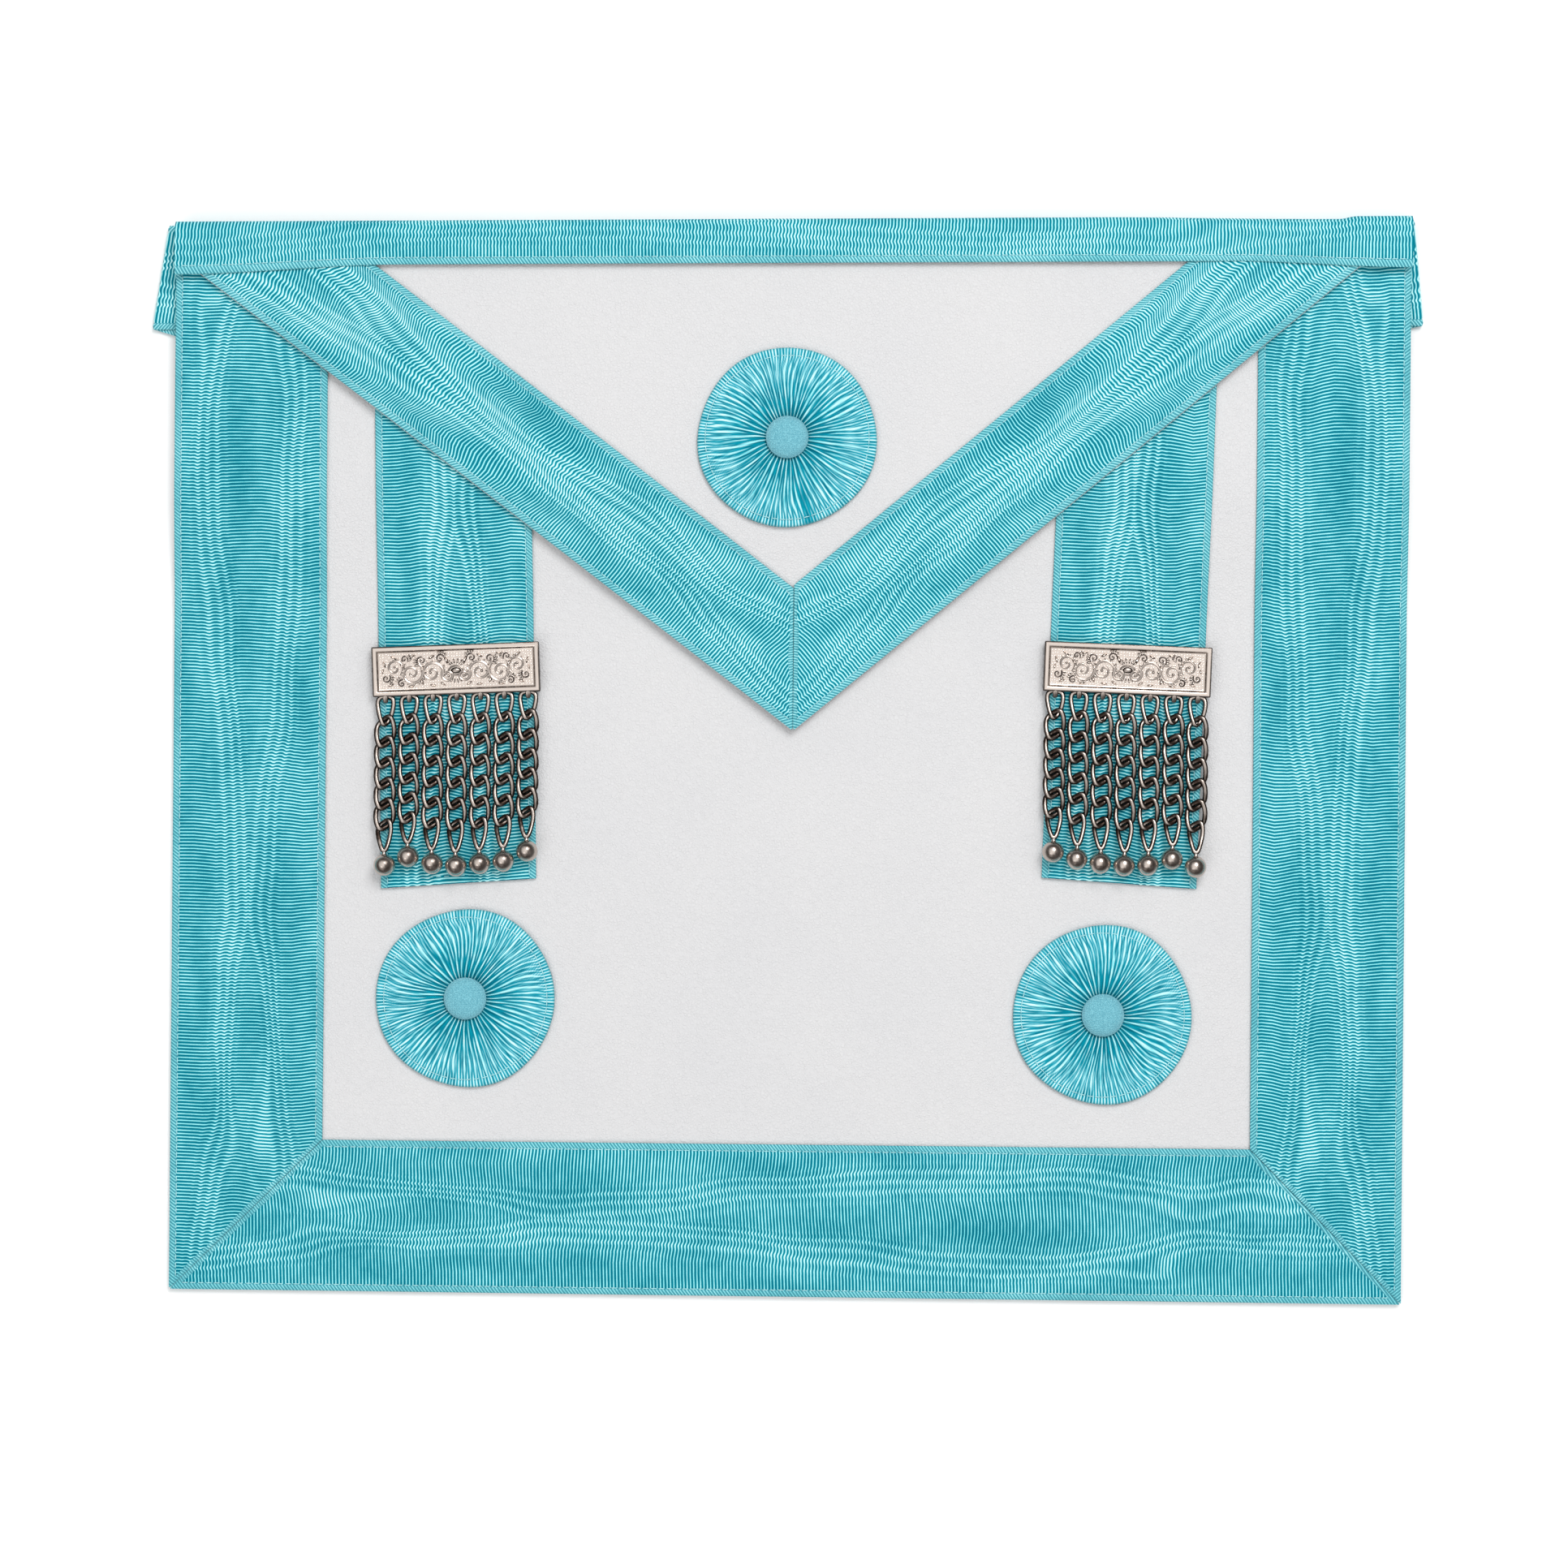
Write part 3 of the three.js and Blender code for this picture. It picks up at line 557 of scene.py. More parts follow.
def moire_wave(width, size, drift, swirl=0.0):
    """How far the ribs are pushed along the ribbon, in mm, at a place on it."""
    def wave(a, s):
        u = a / width
        turn = 0.12 * np.sin(s / 37 + drift) + 0.07 * np.sin(s / 15 + 2 * drift)
        main = np.sin(math.tau * (1.7 * u + turn) - 3.77 + 0.3 * drift)
        small = 0.35 * np.sin(math.tau * (2.9 * u - turn) + s / 29 + drift)
        eddy = np.sin(s / 11 + 3 * drift + 2 * np.sin(a / 9)) * np.sin(math.tau * 1.2 * u + s / 41)
        eddy = swirl * eddy * step(u, 0, 0.2) * step(s, 70, 150)
        return ((size * (main + small)) * step(u, 0.02, 0.42) + eddy) * step(1 - u, 0, 0.15)
    return wave


def ribbon(name, width, start, end, limits, place, material, wave, spacing=3.6, kept=None, rib_rows=4):
    """One ribbon. place(a, s) gives the middle of the cloth and its upward direction, in mm."""
    ribs = round((end - start) / PITCH)
    s = np.linspace(start, end, rib_rows * ribs + 1)
    fractions = columns_of(width, spacing) / width
    calm = step(s, start, start + 5) * step(end - s, 0, 5)
    low, high = limits(s)
    shift = lambda a: wave(a, s) * calm
    for _ in range(4):
        low = limits(s + shift(low))[0]
        high = limits(s + shift(high))[1]
    high = np.maximum(high, low + THINNEST)
    a = low[:, None] + (high - low)[:, None] * fractions[None, :]
    rows = np.repeat(s[:, None], a.shape[1], 1)
    pushed = rows + wave(a, rows) * calm[:, None]
    middle, up = place(a, pushed)
    edge = np.minimum(a - low[:, None], high[:, None] - a)
    margin = np.minimum(edge, np.minimum(a, width - a))
    rib = 0.5 - 0.5 * np.cos(math.tau * (rows - start) / PITCH)
    slow = 0.75 + 0.25 * np.sin(a / 3.1 + rows / 17) * np.sin(a / 7.3 - rows / 11)
    groove = 0.3 * np.exp(-(((margin - STITCH_IN) / 0.35) ** 2))
    roll = 0.4 * (1 - step(margin, 0, 1.0))
    relief = RIB_HEIGHT * (rib * slow - 1) - groove - roll
    over = middle + up * (RIBBON / 2 + relief)[..., None]
    under = middle - up * (RIBBON / 2)
    return sheet_object(name, over, under, material, (a, rows - start, margin), kept)


def whole(width):
    """Limits of a ribbon that is cut square at both ends."""
    return lambda s: (np.zeros_like(s), np.full_like(s, width))


def flat_rule(origin, along, across, level, rise):
    """Places ribbon points on a flat cut: an origin and two directions in the plane, and a level."""
    def place(a, s):
        x = origin[0] + s * along[0] + a * across[0]
        y = origin[1] + s * along[1] + a * across[1]
        points = np.stack([x, y, level + RIBBON / 2 + rise(x, y, a, s)], -1)
        return lay(points), skyward(points)
    return place


# %% [markdown]
# ## Borders
#
# Three lengths of two-inch ribbon are sewn round the leather and meet in mitred corners at the
# bottom. The right one is lapped over the bottom one, so its cut edge stands up a little. A mitre
# could be cut with a boolean, but rows that each end at the slant keep the ribs and the grid whole.

# %% Borders
BORDER = 50
BORDER_LEVEL = 1.3
SEAM = 0.07
MITRE_START = 0.51
MITRE_TIP = 0.3
SIDE_LENGTH = SHEET_TOP + TOP


def puff(height, spread, phase):
    """Gentle swelling of cloth between its stitches, in mm, never below its layer."""
    def rise(x, y, a, s):
        swell = np.sin(x / spread + phase) * np.sin(y / (1.3 * spread) - phase) + 1
        return 0.5 * height * swell
    return rise


def side_limits(s):
    return np.zeros_like(s), np.clip(s - SEAM, MITRE_TIP, BORDER)


def bottom_limits(s):
    return side_limits(np.minimum(s, WIDTH - s))


def lapped(x, y, a, s):
    """The right border's mitred edge lies over the bottom border."""
    near = np.clip(s - a, 0, 60)
    return 0.35 * (1 - step(near, 0, 4)) * step(60 - s, 0, 8) + puff(0.15, 40, 1)(x, y, a, s)


left_rule = flat_rule((-HALF, -TOP), (0, 1), (1, 0), BORDER_LEVEL, puff(0.15, 40, 0))
right_rule = flat_rule((HALF, -TOP), (0, 1), (-1, 0), BORDER_LEVEL, lapped)
bottom_rule = flat_rule((-HALF, -TOP), (1, 0), (0, 1), BORDER_LEVEL, puff(0.15, 40, 2))
BORDERS = (
    {"node": "border_left", "rule": left_rule, "mitres": 1, "wave": 0.6, "drift": 0},
    {"node": "border_right", "rule": right_rule, "mitres": 1, "wave": 0.9, "drift": 1.1},
    {"node": "border_bottom", "rule": bottom_rule, "mitres": 2, "wave": 0.7, "drift": 2.3},
)
for row in BORDERS:
    node, mitres = row["node"], row["mitres"]
    length = WIDTH if mitres == 2 else SIDE_LENGTH
    end = length - MITRE_START if mitres == 2 else length
    limits = bottom_limits if mitres == 2 else side_limits
    wave = moire_wave(BORDER, row["wave"], row["drift"])
    piece = ribbon("ribbon_" + node, BORDER, MITRE_START, end, limits, row["rule"], border_moire, wave)
    keep(piece, "moire", node)
    area = BORDER * (length - BORDER * mitres / 2)
    cut_to(piece, BORDER, length, "laid", "leather_body", area=area)
    print(node, triangles(piece), "triangles")

# %% [markdown]
# ## Leather body and flap
#
# Two panels of leather with a very slight wave in them. The flap is a triangle whose edges run up
# from its point, each at its own angle. Cloth could be simulated here, but stiff leather that lies on
# a table hardly moves, and a small wave by formula comes closer.

# %% Leather panels
FLAP_LEVEL = 2.6
FLAP_POINT = TOP - 168
POINT_X = 1
RISE_LEFT = math.radians(37.6)
RISE_RIGHT = math.radians(39.4)


def panel(name, heights, left, right, level, columns, phase):
    y = np.asarray(heights, float)
    lo, hi = left(y), right(y)
    t = np.linspace(0, 1, columns)
    x = lo[:, None] + (hi - lo)[:, None] * t
    rows = np.repeat(y[:, None], columns, 1)
    wave = 0.1 * np.sin(x / 31 + phase) * np.sin(rows / 23 + 2 * phase) - 0.1
    edge = np.minimum(x - lo[:, None], hi[:, None] - x)
    over = lay(np.stack([x, rows, level + 1 + wave - 0.25 * (1 - step(edge, 0, 1.5))], -1))
    under = lay(np.stack([x, rows, np.full_like(x, level)], -1))
    return sheet_object(name, over, under, leather.material)


body_side = HALF - LEATHER_INSET
body = panel(
    "leather_body",
    np.linspace(LEATHER_INSET - TOP, SHEET_TOP, 60),
    lambda y: np.full_like(y, -body_side),
    lambda y: np.full_like(y, body_side),
    level=0,
    columns=70,
    phase=0,
)
keep(body, "leather", "apron_body")
cut_to(body, 2 * body_side, SIDE_LENGTH - LEATHER_INSET, "laid", "floor")

flap = panel(
    "leather_flap",
    np.linspace(FLAP_POINT, SHEET_TOP, 50),
    lambda y: np.maximum(-HALF, POINT_X - 0.25 - (y - FLAP_POINT) / math.tan(RISE_LEFT)),
    lambda y: np.minimum(HALF, POINT_X + 0.25 + (y - FLAP_POINT) / math.tan(RISE_RIGHT)),
    level=FLAP_LEVEL,
    columns=60,
    phase=1,
)
keep(flap, "leather", "flap")
FLAP_HEIGHT = SHEET_TOP - FLAP_POINT
UPPER_STRIP = 8
flap_area = HALF * HALF * math.tan(RISE_LEFT) + WIDTH * UPPER_STRIP
cut_to(flap, WIDTH, FLAP_HEIGHT, "folded", "leather_body", area=flap_area)
print("leather:", triangles(body), triangles(flap), "triangles")

# %% [markdown]
# ## Flap arms
#
# The flap's edges carry narrower ribbon, which runs from the apron's sides down to the point. Its
# ribs lie square to the arm. At the point the right arm is folded under and stands on the left one.
# The arms aren't turned copies of a border, because moire runs with its own ribbon: each is woven in
# its own direction and cut at the point, the seam and the top.

# %% Flap arms
ARM = 37
ARM_LEVEL = 3.9
SEAM_ROLL = 1.6
PUCKER_AT = 205


def arm_limits(rise, half_run):
    def limits(s):
        low = np.maximum(0, (s * math.cos(rise) - half_run) / math.sin(rise))
        tip = s / math.tan(rise) - 0.04 / math.sin(rise)
        top = (SHEET_TOP - FLAP_POINT - s * math.sin(rise)) / math.cos(rise)
        high = np.minimum(np.minimum(ARM, tip), top)
        return np.minimum(low, ARM), np.maximum(high, np.minimum(low, ARM) + THINNEST)
    return limits


def arm(name, side, rise, node, drift):
    half_run = HALF - side * POINT_X
    along = (side * math.cos(rise), math.sin(rise))
    across = (-side * math.sin(rise), math.cos(rise))
    seam_end = ARM / math.cos(rise)

    def swell(x, y, a, s):
        near = np.exp(-(((s - PUCKER_AT - 14 * side) / 16) ** 2)) * step(a, 2, 12)
        pucker = 0.45 * near * (1 + np.sin(a / 2.7 + s / 9))
        soft = 0.25 * (1 + np.sin(s / 21 + drift) * np.sin(a / 9 + drift))
        from_seam = np.abs(x - POINT_X)
        fold = 0.6 * (1 - step(from_seam, 0.6, SEAM_ROLL)) * (y < FLAP_POINT + seam_end) if side > 0 else 0
        return (0.5 if side > 0 else 0.25) * pucker + soft * 0.5 + fold

    corner = half_run * math.cos(rise) + FLAP_HEIGHT * math.sin(rise)
    rule = flat_rule((POINT_X, FLAP_POINT), along, across, ARM_LEVEL, swell)
    piece = ribbon(
        name, ARM, 0.6, corner - 0.4, arm_limits(rise, half_run), rule, arm_moire,
        moire_wave(ARM, 0.6, drift, 3.0), spacing=2.4,
    )
    keep(piece, "moire", node)
    length = half_run / math.cos(rise)
    cut_to(piece, ARM, length + 10, "laid", "leather_flap", area=ARM * (length - 5))
    outer_end = (half_run + STITCH_IN * math.sin(rise)) / math.cos(rise) - 1
    inner = ARM - STITCH_IN
    inner_start = inner * math.tan(rise) + 1
    inner_end = (FLAP_HEIGHT - inner * math.cos(rise)) / math.sin(rise) - 1
    ARM_RULES.append((rule, (outer_end, inner_start, inner_end)))
    print(name, triangles(piece), "triangles")


ARM_RULES = []
arm("ribbon_arm_left", -1, RISE_LEFT, "flap_ribbon_left", 0.7)
arm("ribbon_arm_right", 1, RISE_RIGHT, "flap_ribbon_right", 2.9)

# %% [markdown]
# ## Top band
#
# A ribbon is folded over the apron's top edge and bites all the layers, like the binding of a
# blanket. Seen from the end it is a U: a front leg, a round fold and a back leg. A bevelled box would
# do for its outline, but a ribbon whose rule bends round the fold carries its ribs round it too.

# %% Top band
BAND_DEPTH = 15
BAND_FRONT = 5.7
BAND_BACK = -0.8
BAND_RADIUS = (BAND_FRONT - BAND_BACK) / 2
BAND_LEG = SHEET_TOP - (TOP - BAND_DEPTH)
BAND_GIRTH = 2 * BAND_LEG + math.pi * BAND_RADIUS


def band_place(a, s):
    """a runs from the front leg's edge over the fold to the back leg's edge."""
    turn = np.clip((a - BAND_LEG) / BAND_RADIUS, 0, math.pi)
    before = np.minimum(a - BAND_LEG, 0)
    after = np.maximum(a - BAND_LEG - math.pi * BAND_RADIUS, 0)
    droop = 3.0 * (1 - step(s, 0, 75)) + 2.2 * step(s, WIDTH - 60, WIDTH)
    sag = 0.9 * step(s, 300, 375) * (1 - step(s, 381, 387))
    y = SHEET_TOP - sag + BAND_RADIUS * np.sin(turn) + before * (1 + (droop - sag) / BAND_LEG) - after
    z = (BAND_FRONT + BAND_BACK) / 2 + BAND_RADIUS * np.cos(turn)
    points = lay(np.stack([s - HALF, y, z], -1))
    up = np.stack([np.zeros_like(a), np.sin(turn), np.cos(turn)], -1)
    return points, up


band = ribbon(
    "ribbon_top_band", BAND_GIRTH, 0, WIDTH, whole(BAND_GIRTH), band_place, band_moire,
    moire_wave(BAND_GIRTH, 0.3, 4.1), spacing=2.0, kept=[0, *range(9, 17), 25],
)
keep(band, "moire", "top_band")
cut_to(band, BAND_GIRTH, WIDTH, "folded", "leather_body", "leather_flap")
print("top band", triangles(band), "triangles")

# %% [markdown]
# ## Tassel ribbons
#
# A wide ribbon comes from under the flap on either side and ends in a slanting stitched hem. Its
# ribs are square to it higher up and turn with the hem at its foot. Turning the whole ribbon would
# spoil its upper end, so the rows are tilted near the hem and less and less above it.

# %% Tassel ribbons
TASSEL_RIBBON = 51
SLIDE_Y = 29.2
HEM_BELOW = 70.3
HEM_Y = SLIDE_Y - HEM_BELOW
TASSELS = (
    {"side": "left", "across": -109.5, "turn": 2.0, "lean": 0.58, "hem": 3.6, "sway": -2.11, "drift": 5.3},
    {"side": "right", "across": 111.0, "turn": -2.4, "lean": -2.2, "hem": -4.2, "sway": 1.32, "drift": 0.4},
)


def tassel_rule(row):
    lean = math.tan(math.radians(row["lean"]))
    tilt = math.tan(math.radians(row["hem"]))

    def place(a, s):
        x = a - TASSEL_RIBBON / 2
        y = HEM_Y + s + tilt * x * (1 - step(s, 0, 45))
        middle = row["across"] - lean * (y - SLIDE_Y)
        swell = 0.12 * (1 + np.sin(x / 11 + row["turn"]) * np.sin(s / 19))
        points = np.stack([middle + x, y, BORDER_LEVEL + RIBBON / 2 + lift(y) + swell], -1)
        return points, skyward(points)
    return place


TASSEL_LENGTH = TOP - BAND_DEPTH - HEM_Y
for row in TASSELS:
    side = row["side"]
    piece = ribbon(
        "ribbon_tassel_" + side, TASSEL_RIBBON, 0, TASSEL_LENGTH, whole(TASSEL_RIBBON), tassel_rule(row),
        tassel_moire, moire_wave(TASSEL_RIBBON, 1.0, row["drift"], 0.4),
    )
    keep(piece, "moire", "tassel_ribbon_" + side)
    cut_to(piece, TASSEL_RIBBON, TASSEL_LENGTH, "laid", "leather_body")
    print("tassel ribbon", side, triangles(piece), "triangles")

# %% [markdown]
# ## Belt
#
# The belt is one more ribbon in two halves. Each is sewn behind a top corner, shows a few
# millimetres beside the apron, folds on a leaning line, and runs back beneath to the clasp. A strip
# leaves such a fold at twice the line's lean, so the two runs cross at one point. That point could be
# chosen by eye, but it is worked out here, so that both halves end neatly at the clasp.

# %% Belt
BELT = 34.5
BELT_SEWN = 45
BELT_FRONT = 1.8
BELT_BACK = 0.5
BELT_RADIUS = (BELT_FRONT - BELT_BACK) / 2


def belt_fold(side, reach, lean):
    y = TOP - 1 - BELT / 2
    across = reach + math.tan(lean) * (1 + BELT / 2)
    middle = np.array([side * (HALF + across - RIBBON - 0.15), y])
    heading = np.array([-side * math.cos(2 * lean), -math.sin(2 * lean)])
    line = np.array([side * math.sin(lean), -math.cos(lean)])
    return middle, heading, line


FOLD_LEFT = belt_fold(-1, 3.1, math.radians(8.5))
FOLD_RIGHT = belt_fold(1, 1.6, math.radians(5.3))
apart = FOLD_RIGHT[0] - FOLD_LEFT[0]
head_left, head_right = FOLD_LEFT[1], FOLD_RIGHT[1]
determinant = head_left[0] * head_right[1] - head_left[1] * head_right[0]
run_left = (apart[0] * head_right[1] - apart[1] * head_right[0]) / determinant
CLASP = FOLD_LEFT[0] + head_left * run_left


def belt(name, side, fold, node):
    middle, heading, line = fold
    half = BELT / 2 / -line[1]
    kink = math.acos(float(-head_left @ head_right)) / 2
    run = float(np.linalg.norm(CLASP - middle)) - BELT / 2 * math.tan(kink) - 0.3
    bend = math.pi * BELT_RADIUS
    outward = np.array([-line[1] * side, line[0] * side])

    def place(a, s):
        end = (a / BELT) * 2 - 1
        x0 = middle[0] - line[0] * end * half
        y0 = middle[1] - line[1] * end * half
        front = np.maximum(-s, 0)
        turn = np.clip(s / BELT_RADIUS, 0, math.pi)
        back = np.maximum(s - bend, 0)
        reach = (x0 - middle[0]) * heading[0] + (y0 - middle[1]) * heading[1]
        back = back - back / run * reach
        x = x0 - side * front + outward[0] * BELT_RADIUS * np.sin(turn) + heading[0] * back
        y = y0 + outward[1] * BELT_RADIUS * np.sin(turn) + heading[1] * back
        z = (BELT_FRONT + BELT_BACK) / 2 + BELT_RADIUS * np.cos(turn)
        points = lay(np.stack([x, y, z], -1), climb=False)
        up = np.stack([outward[0] * np.sin(turn), outward[1] * np.sin(turn), np.cos(turn)], -1)
        return points, up

    piece = ribbon(
        name, BELT, -BELT_SEWN, bend + run, whole(BELT), place, arm_moire,
        moire_wave(BELT, 0.0, 0), spacing=5, rib_rows=2,
    )
    keep(piece, "moire", node)
    cut_to(piece, BELT, BELT_SEWN + bend + run, "folded", "floor")
    print(name, triangles(piece), "triangles")


belt("ribbon_belt_left", -1, FOLD_LEFT, "belt_left")
belt("ribbon_belt_right", 1, FOLD_RIGHT, "belt_right")

# %% [markdown]
# ## Clasp
#
# The clasp hides under the apron: a plain plate that both belt ends meet under. A cube takes its
# size, and its edges are bevelled and its face is inset and sunk, as in pressed sheet metal. It never
# shows from above, so these few operators are enough.

# %% Clasp
clasp_low, clasp_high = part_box("belt_clasp")


def fresh_cube(name, low, high):
    """A cube from corner to corner, in metres, with its size applied to the mesh."""
    bpy.ops.object.select_all(action="DESELECT")
    middle = (Vector(low) + Vector(high)) / 2
    bpy.ops.mesh.primitive_cube_add(size=1, location=middle)
    cube = bpy.context.object
    cube.name = name
    cube.data.name = name
    cube.scale = Vector(high) - Vector(low)
    bpy.ops.object.transform_apply(location=True, rotation=False, scale=True)
    return cube


def select_faces(cube, test):
    """Selects in edit mode the faces whose middle and normal pass a test."""
    bpy.ops.object.mode_set(mode="EDIT")
    bpy.ops.mesh.select_mode(type="FACE")
    bpy.ops.mesh.select_all(action="DESELECT")
    bpy.ops.object.mode_set(mode="OBJECT")
    for face in cube.data.polygons:
        face.select = test(face.center, face.normal)
    bpy.ops.object.mode_set(mode="EDIT")


def smooth_below(piece, degrees):
    """Shades the piece round, apart from edges that are sharper than an angle."""
    bpy.ops.object.select_all(action="DESELECT")
    bpy.context.view_layer.objects.active = piece
    piece.select_set(True)
    bpy.ops.object.shade_smooth_by_angle(angle=math.radians(degrees))


def bevel(piece, width, segments):
    """Rounded edges by a modifier that is applied; width in millimetres."""
    rounding = piece.modifiers.new("edges", "BEVEL")
    rounding.width = width * MM
    rounding.segments = segments
    rounding.limit_method = "ANGLE"
    bpy.ops.object.modifier_apply(modifier="edges")
    smooth_below(piece, 40)


clasp = fresh_cube("clasp_plate", clasp_low, clasp_high)
select_faces(clasp, lambda place, normal: abs(normal.z) > 0.9)
bpy.ops.mesh.inset(thickness=2 * MM, depth=0)
bpy.ops.mesh.inset(thickness=0.3 * MM, depth=-0.25 * MM, use_individual=True)
bpy.ops.object.mode_set(mode="OBJECT")
bevel(clasp, 0.35, 3)
clasp.data.materials.append(plate.material)
keep(clasp, "plated", "belt_clasp")
print("clasp", triangles(clasp), "triangles")

# %% [markdown]
# ## Small relief shapes
#
# The slides' ornament is cast: spiral scrolls, leaves with a raised vein, and berries. Each is a
# small closed mesh, made once as a shape and placed many times by numbers. They could be sculpted
# with a brush, but numbers can be mirrored, moved and made smaller.


# %% Tubes and leaves
def tube(points, radii, sides, closed=False):
    """Closed tube along points (n x 3). Ends are capped unless the tube is a ring."""
    points = np.asarray(points, float)
    count = len(points)
    if closed:
        tangent = np.roll(points, -1, 0) - np.roll(points, 1, 0)
    else:
        tangent = np.gradient(points, axis=0)
    tangent /= np.linalg.norm(tangent, axis=1)[:, None]
    centre = points.mean(0)
    out = points - centre if closed else np.tile([0.0, 0.0, 1.0], (count, 1))
    out = out - (out * tangent).sum(1)[:, None] * tangent
    out /= np.linalg.norm(out, axis=1)[:, None]
    side = np.cross(tangent, out)
    turn = math.tau * np.arange(sides) / sides
    ring = np.cos(turn)[None, :, None] * out[:, None] + np.sin(turn)[None, :, None] * side[:, None]
    radii = np.broadcast_to(np.asarray(radii, float), (count,))
    mesh = (points[:, None] + ring * radii[:, None, None]).reshape(-1, 3)
    faces = []
    for i in range(count if closed else count - 1):
        j = (i + 1) % count
        for k in range(sides):
            n = (k + 1) % sides
            faces.append([i * sides + k, i * sides + n, j * sides + n, j * sides + k])
    if not closed:
        faces.append(list(range(sides))[::-1])
        faces.append([(count - 1) * sides + k for k in range(sides)])
    return mesh, faces


def between_rings(rings, around, first=0):
    """Quads between rings of points that lie one outside the other, from the first point on."""
    faces = []
    for j in range(rings - 1):
        base = first + j * around
        for i in range(around):
            n = (i + 1) % around
            faces.append([base + i, base + around + i, base + around + n, base + n])
    return faces


def blob(centre, size, turn=0.0, around=10, rings=4, vein=0.0):
    """Domed leaf or berry: a half-ellipsoid on a base, with a raised vein along its length."""
    points = [(0.0, 0.0, 1.0)]
    for j in range(1, rings + 1):
        tilt = math.pi / 2 * j / rings
        for i in range(around):
            angle = math.tau * i / around
            lengthwise = math.sin(tilt) * math.cos(angle)
            sideways = math.sin(tilt) * math.sin(angle)
            points.append((lengthwise, sideways, math.cos(tilt) * (1 + vein * (1 - abs(sideways)))))
    points.append((0.0, 0.0, -0.15))
    mesh = np.array(points)
    pointed = 1 - 0.35 * np.abs(mesh[:, 0]) ** 2 * (vein > 0)
    mesh[:, 1] *= pointed
    mesh = mesh * np.array(size)
    c, s = math.cos(turn), math.sin(turn)
    mesh[:, :2] = mesh[:, :2] @ np.array([[c, s], [-s, c]])
    mesh += np.array(centre)
    faces = [[0, 1 + i, 1 + (i + 1) % around] for i in range(around)]
    faces += between_rings(rings, around, 1)
    last = 1 + (rings - 1) * around
    foot = len(points) - 1
    faces += [[foot, last + (i + 1) % around, last + i] for i in range(around)]
    return mesh, faces


def join(parts):
    """Several (points, faces) as one."""
    points, faces, base = [], [], 0
    for p, f in parts:
        points.append(p)
        faces += [[base + i for i in face] for face in f]
        base += len(p)
    return np.concatenate(points), faces


# %% [markdown]
# ## Slides
#
# A cast plate sits across each ribbon. It has a raised rim with a painted shadow along its inner
# foot, a stippled ground, an oval shield between two volutes in its middle, and scrolls with leaves
# and berries to either side. Its ends turn down past the ribbon, and seven hooks stick out below for
# the chains.
# The plate is a cube at first: insets draw the rim and sink the field, and one bevel softens its edges
# as casting does. The ornament lies on it as closed shapes, which is simpler than cutting it out.

# %% Slide plate
SLIDE = (55.0, 16.4)
SLIDE_THICK = 1.5
RIM = 1.5
RIM_UP = 1.0
TASSEL_LEVEL = 2.6
CHAINS = 7
SPACING = 7.8
RIM_SLOPE = 0.5
RIM_LINE = 0.62


def slide_plate():
    """The plate with its sunk field and its rim, in metres about the slide's middle."""
    x, y = SLIDE[0] / 2, SLIDE[1] / 2
    piece = fresh_cube("slide", Vector((-x, -y, 0)) * MM, Vector((x, y, SLIDE_THICK + RIM_UP)) * MM)
    select_faces(piece, lambda place, normal: normal.z > 0.9)
    bpy.ops.mesh.inset(thickness=RIM_LINE * MM, depth=0)
    bpy.ops.mesh.inset(thickness=(RIM - RIM_LINE) * MM, depth=0)
    bpy.ops.mesh.inset(thickness=RIM_SLOPE * MM, depth=-RIM_UP * MM)
    bpy.ops.mesh.inset(thickness=0.4 * MM, depth=0)
    bpy.ops.object.mode_set(mode="OBJECT")
    bevel(piece, 0.35, 3)
    return piece


slide_base = slide_plate()
base_points = np.array([v.co for v in slide_base.data.vertices]) / MM
base_faces = [list(p.vertices) for p in slide_base.data.polygons]
bpy.data.objects.remove(slide_base)
print("slide plate", len(base_faces), "faces")

# %% Slide ornament
FIELD_X = SLIDE[0] / 2 - RIM - RIM_SLOPE
FIELD_Y = SLIDE[1] / 2 - RIM - RIM_SLOPE
SCROLLS = (
    {"at": (0.10, -0.28), "radius": 0.38, "start": 60, "sweep": -520, "wire": 0.46, "leaves": 0},
    {"at": (0.31, -0.12), "radius": 0.62, "start": 200, "sweep": -560, "wire": 0.48, "leaves": 9},
    {"at": (0.57, -0.14), "radius": 0.64, "start": 130, "sweep": 560, "wire": 0.48, "leaves": 9},
    {"at": (0.79, 0.16), "radius": 0.5, "start": 230, "sweep": -500, "wire": 0.42, "leaves": 7},
    {"at": (0.44, 0.52), "radius": 0.27, "start": 300, "sweep": 460, "wire": 0.3, "leaves": 4},
    {"at": (0.20, 0.60), "radius": 0.24, "start": 160, "sweep": -430, "wire": 0.28, "leaves": 4},
    {"at": (0.70, -0.66), "radius": 0.2, "start": 90, "sweep": -430, "wire": 0.26, "leaves": 3},
    {"at": (0.90, -0.36), "radius": 0.24, "start": 150, "sweep": 420, "wire": 0.28, "leaves": 4},
    {"at": (0.66, 0.62), "radius": 0.2, "start": 200, "sweep": -400, "wire": 0.26, "leaves": 3},
)
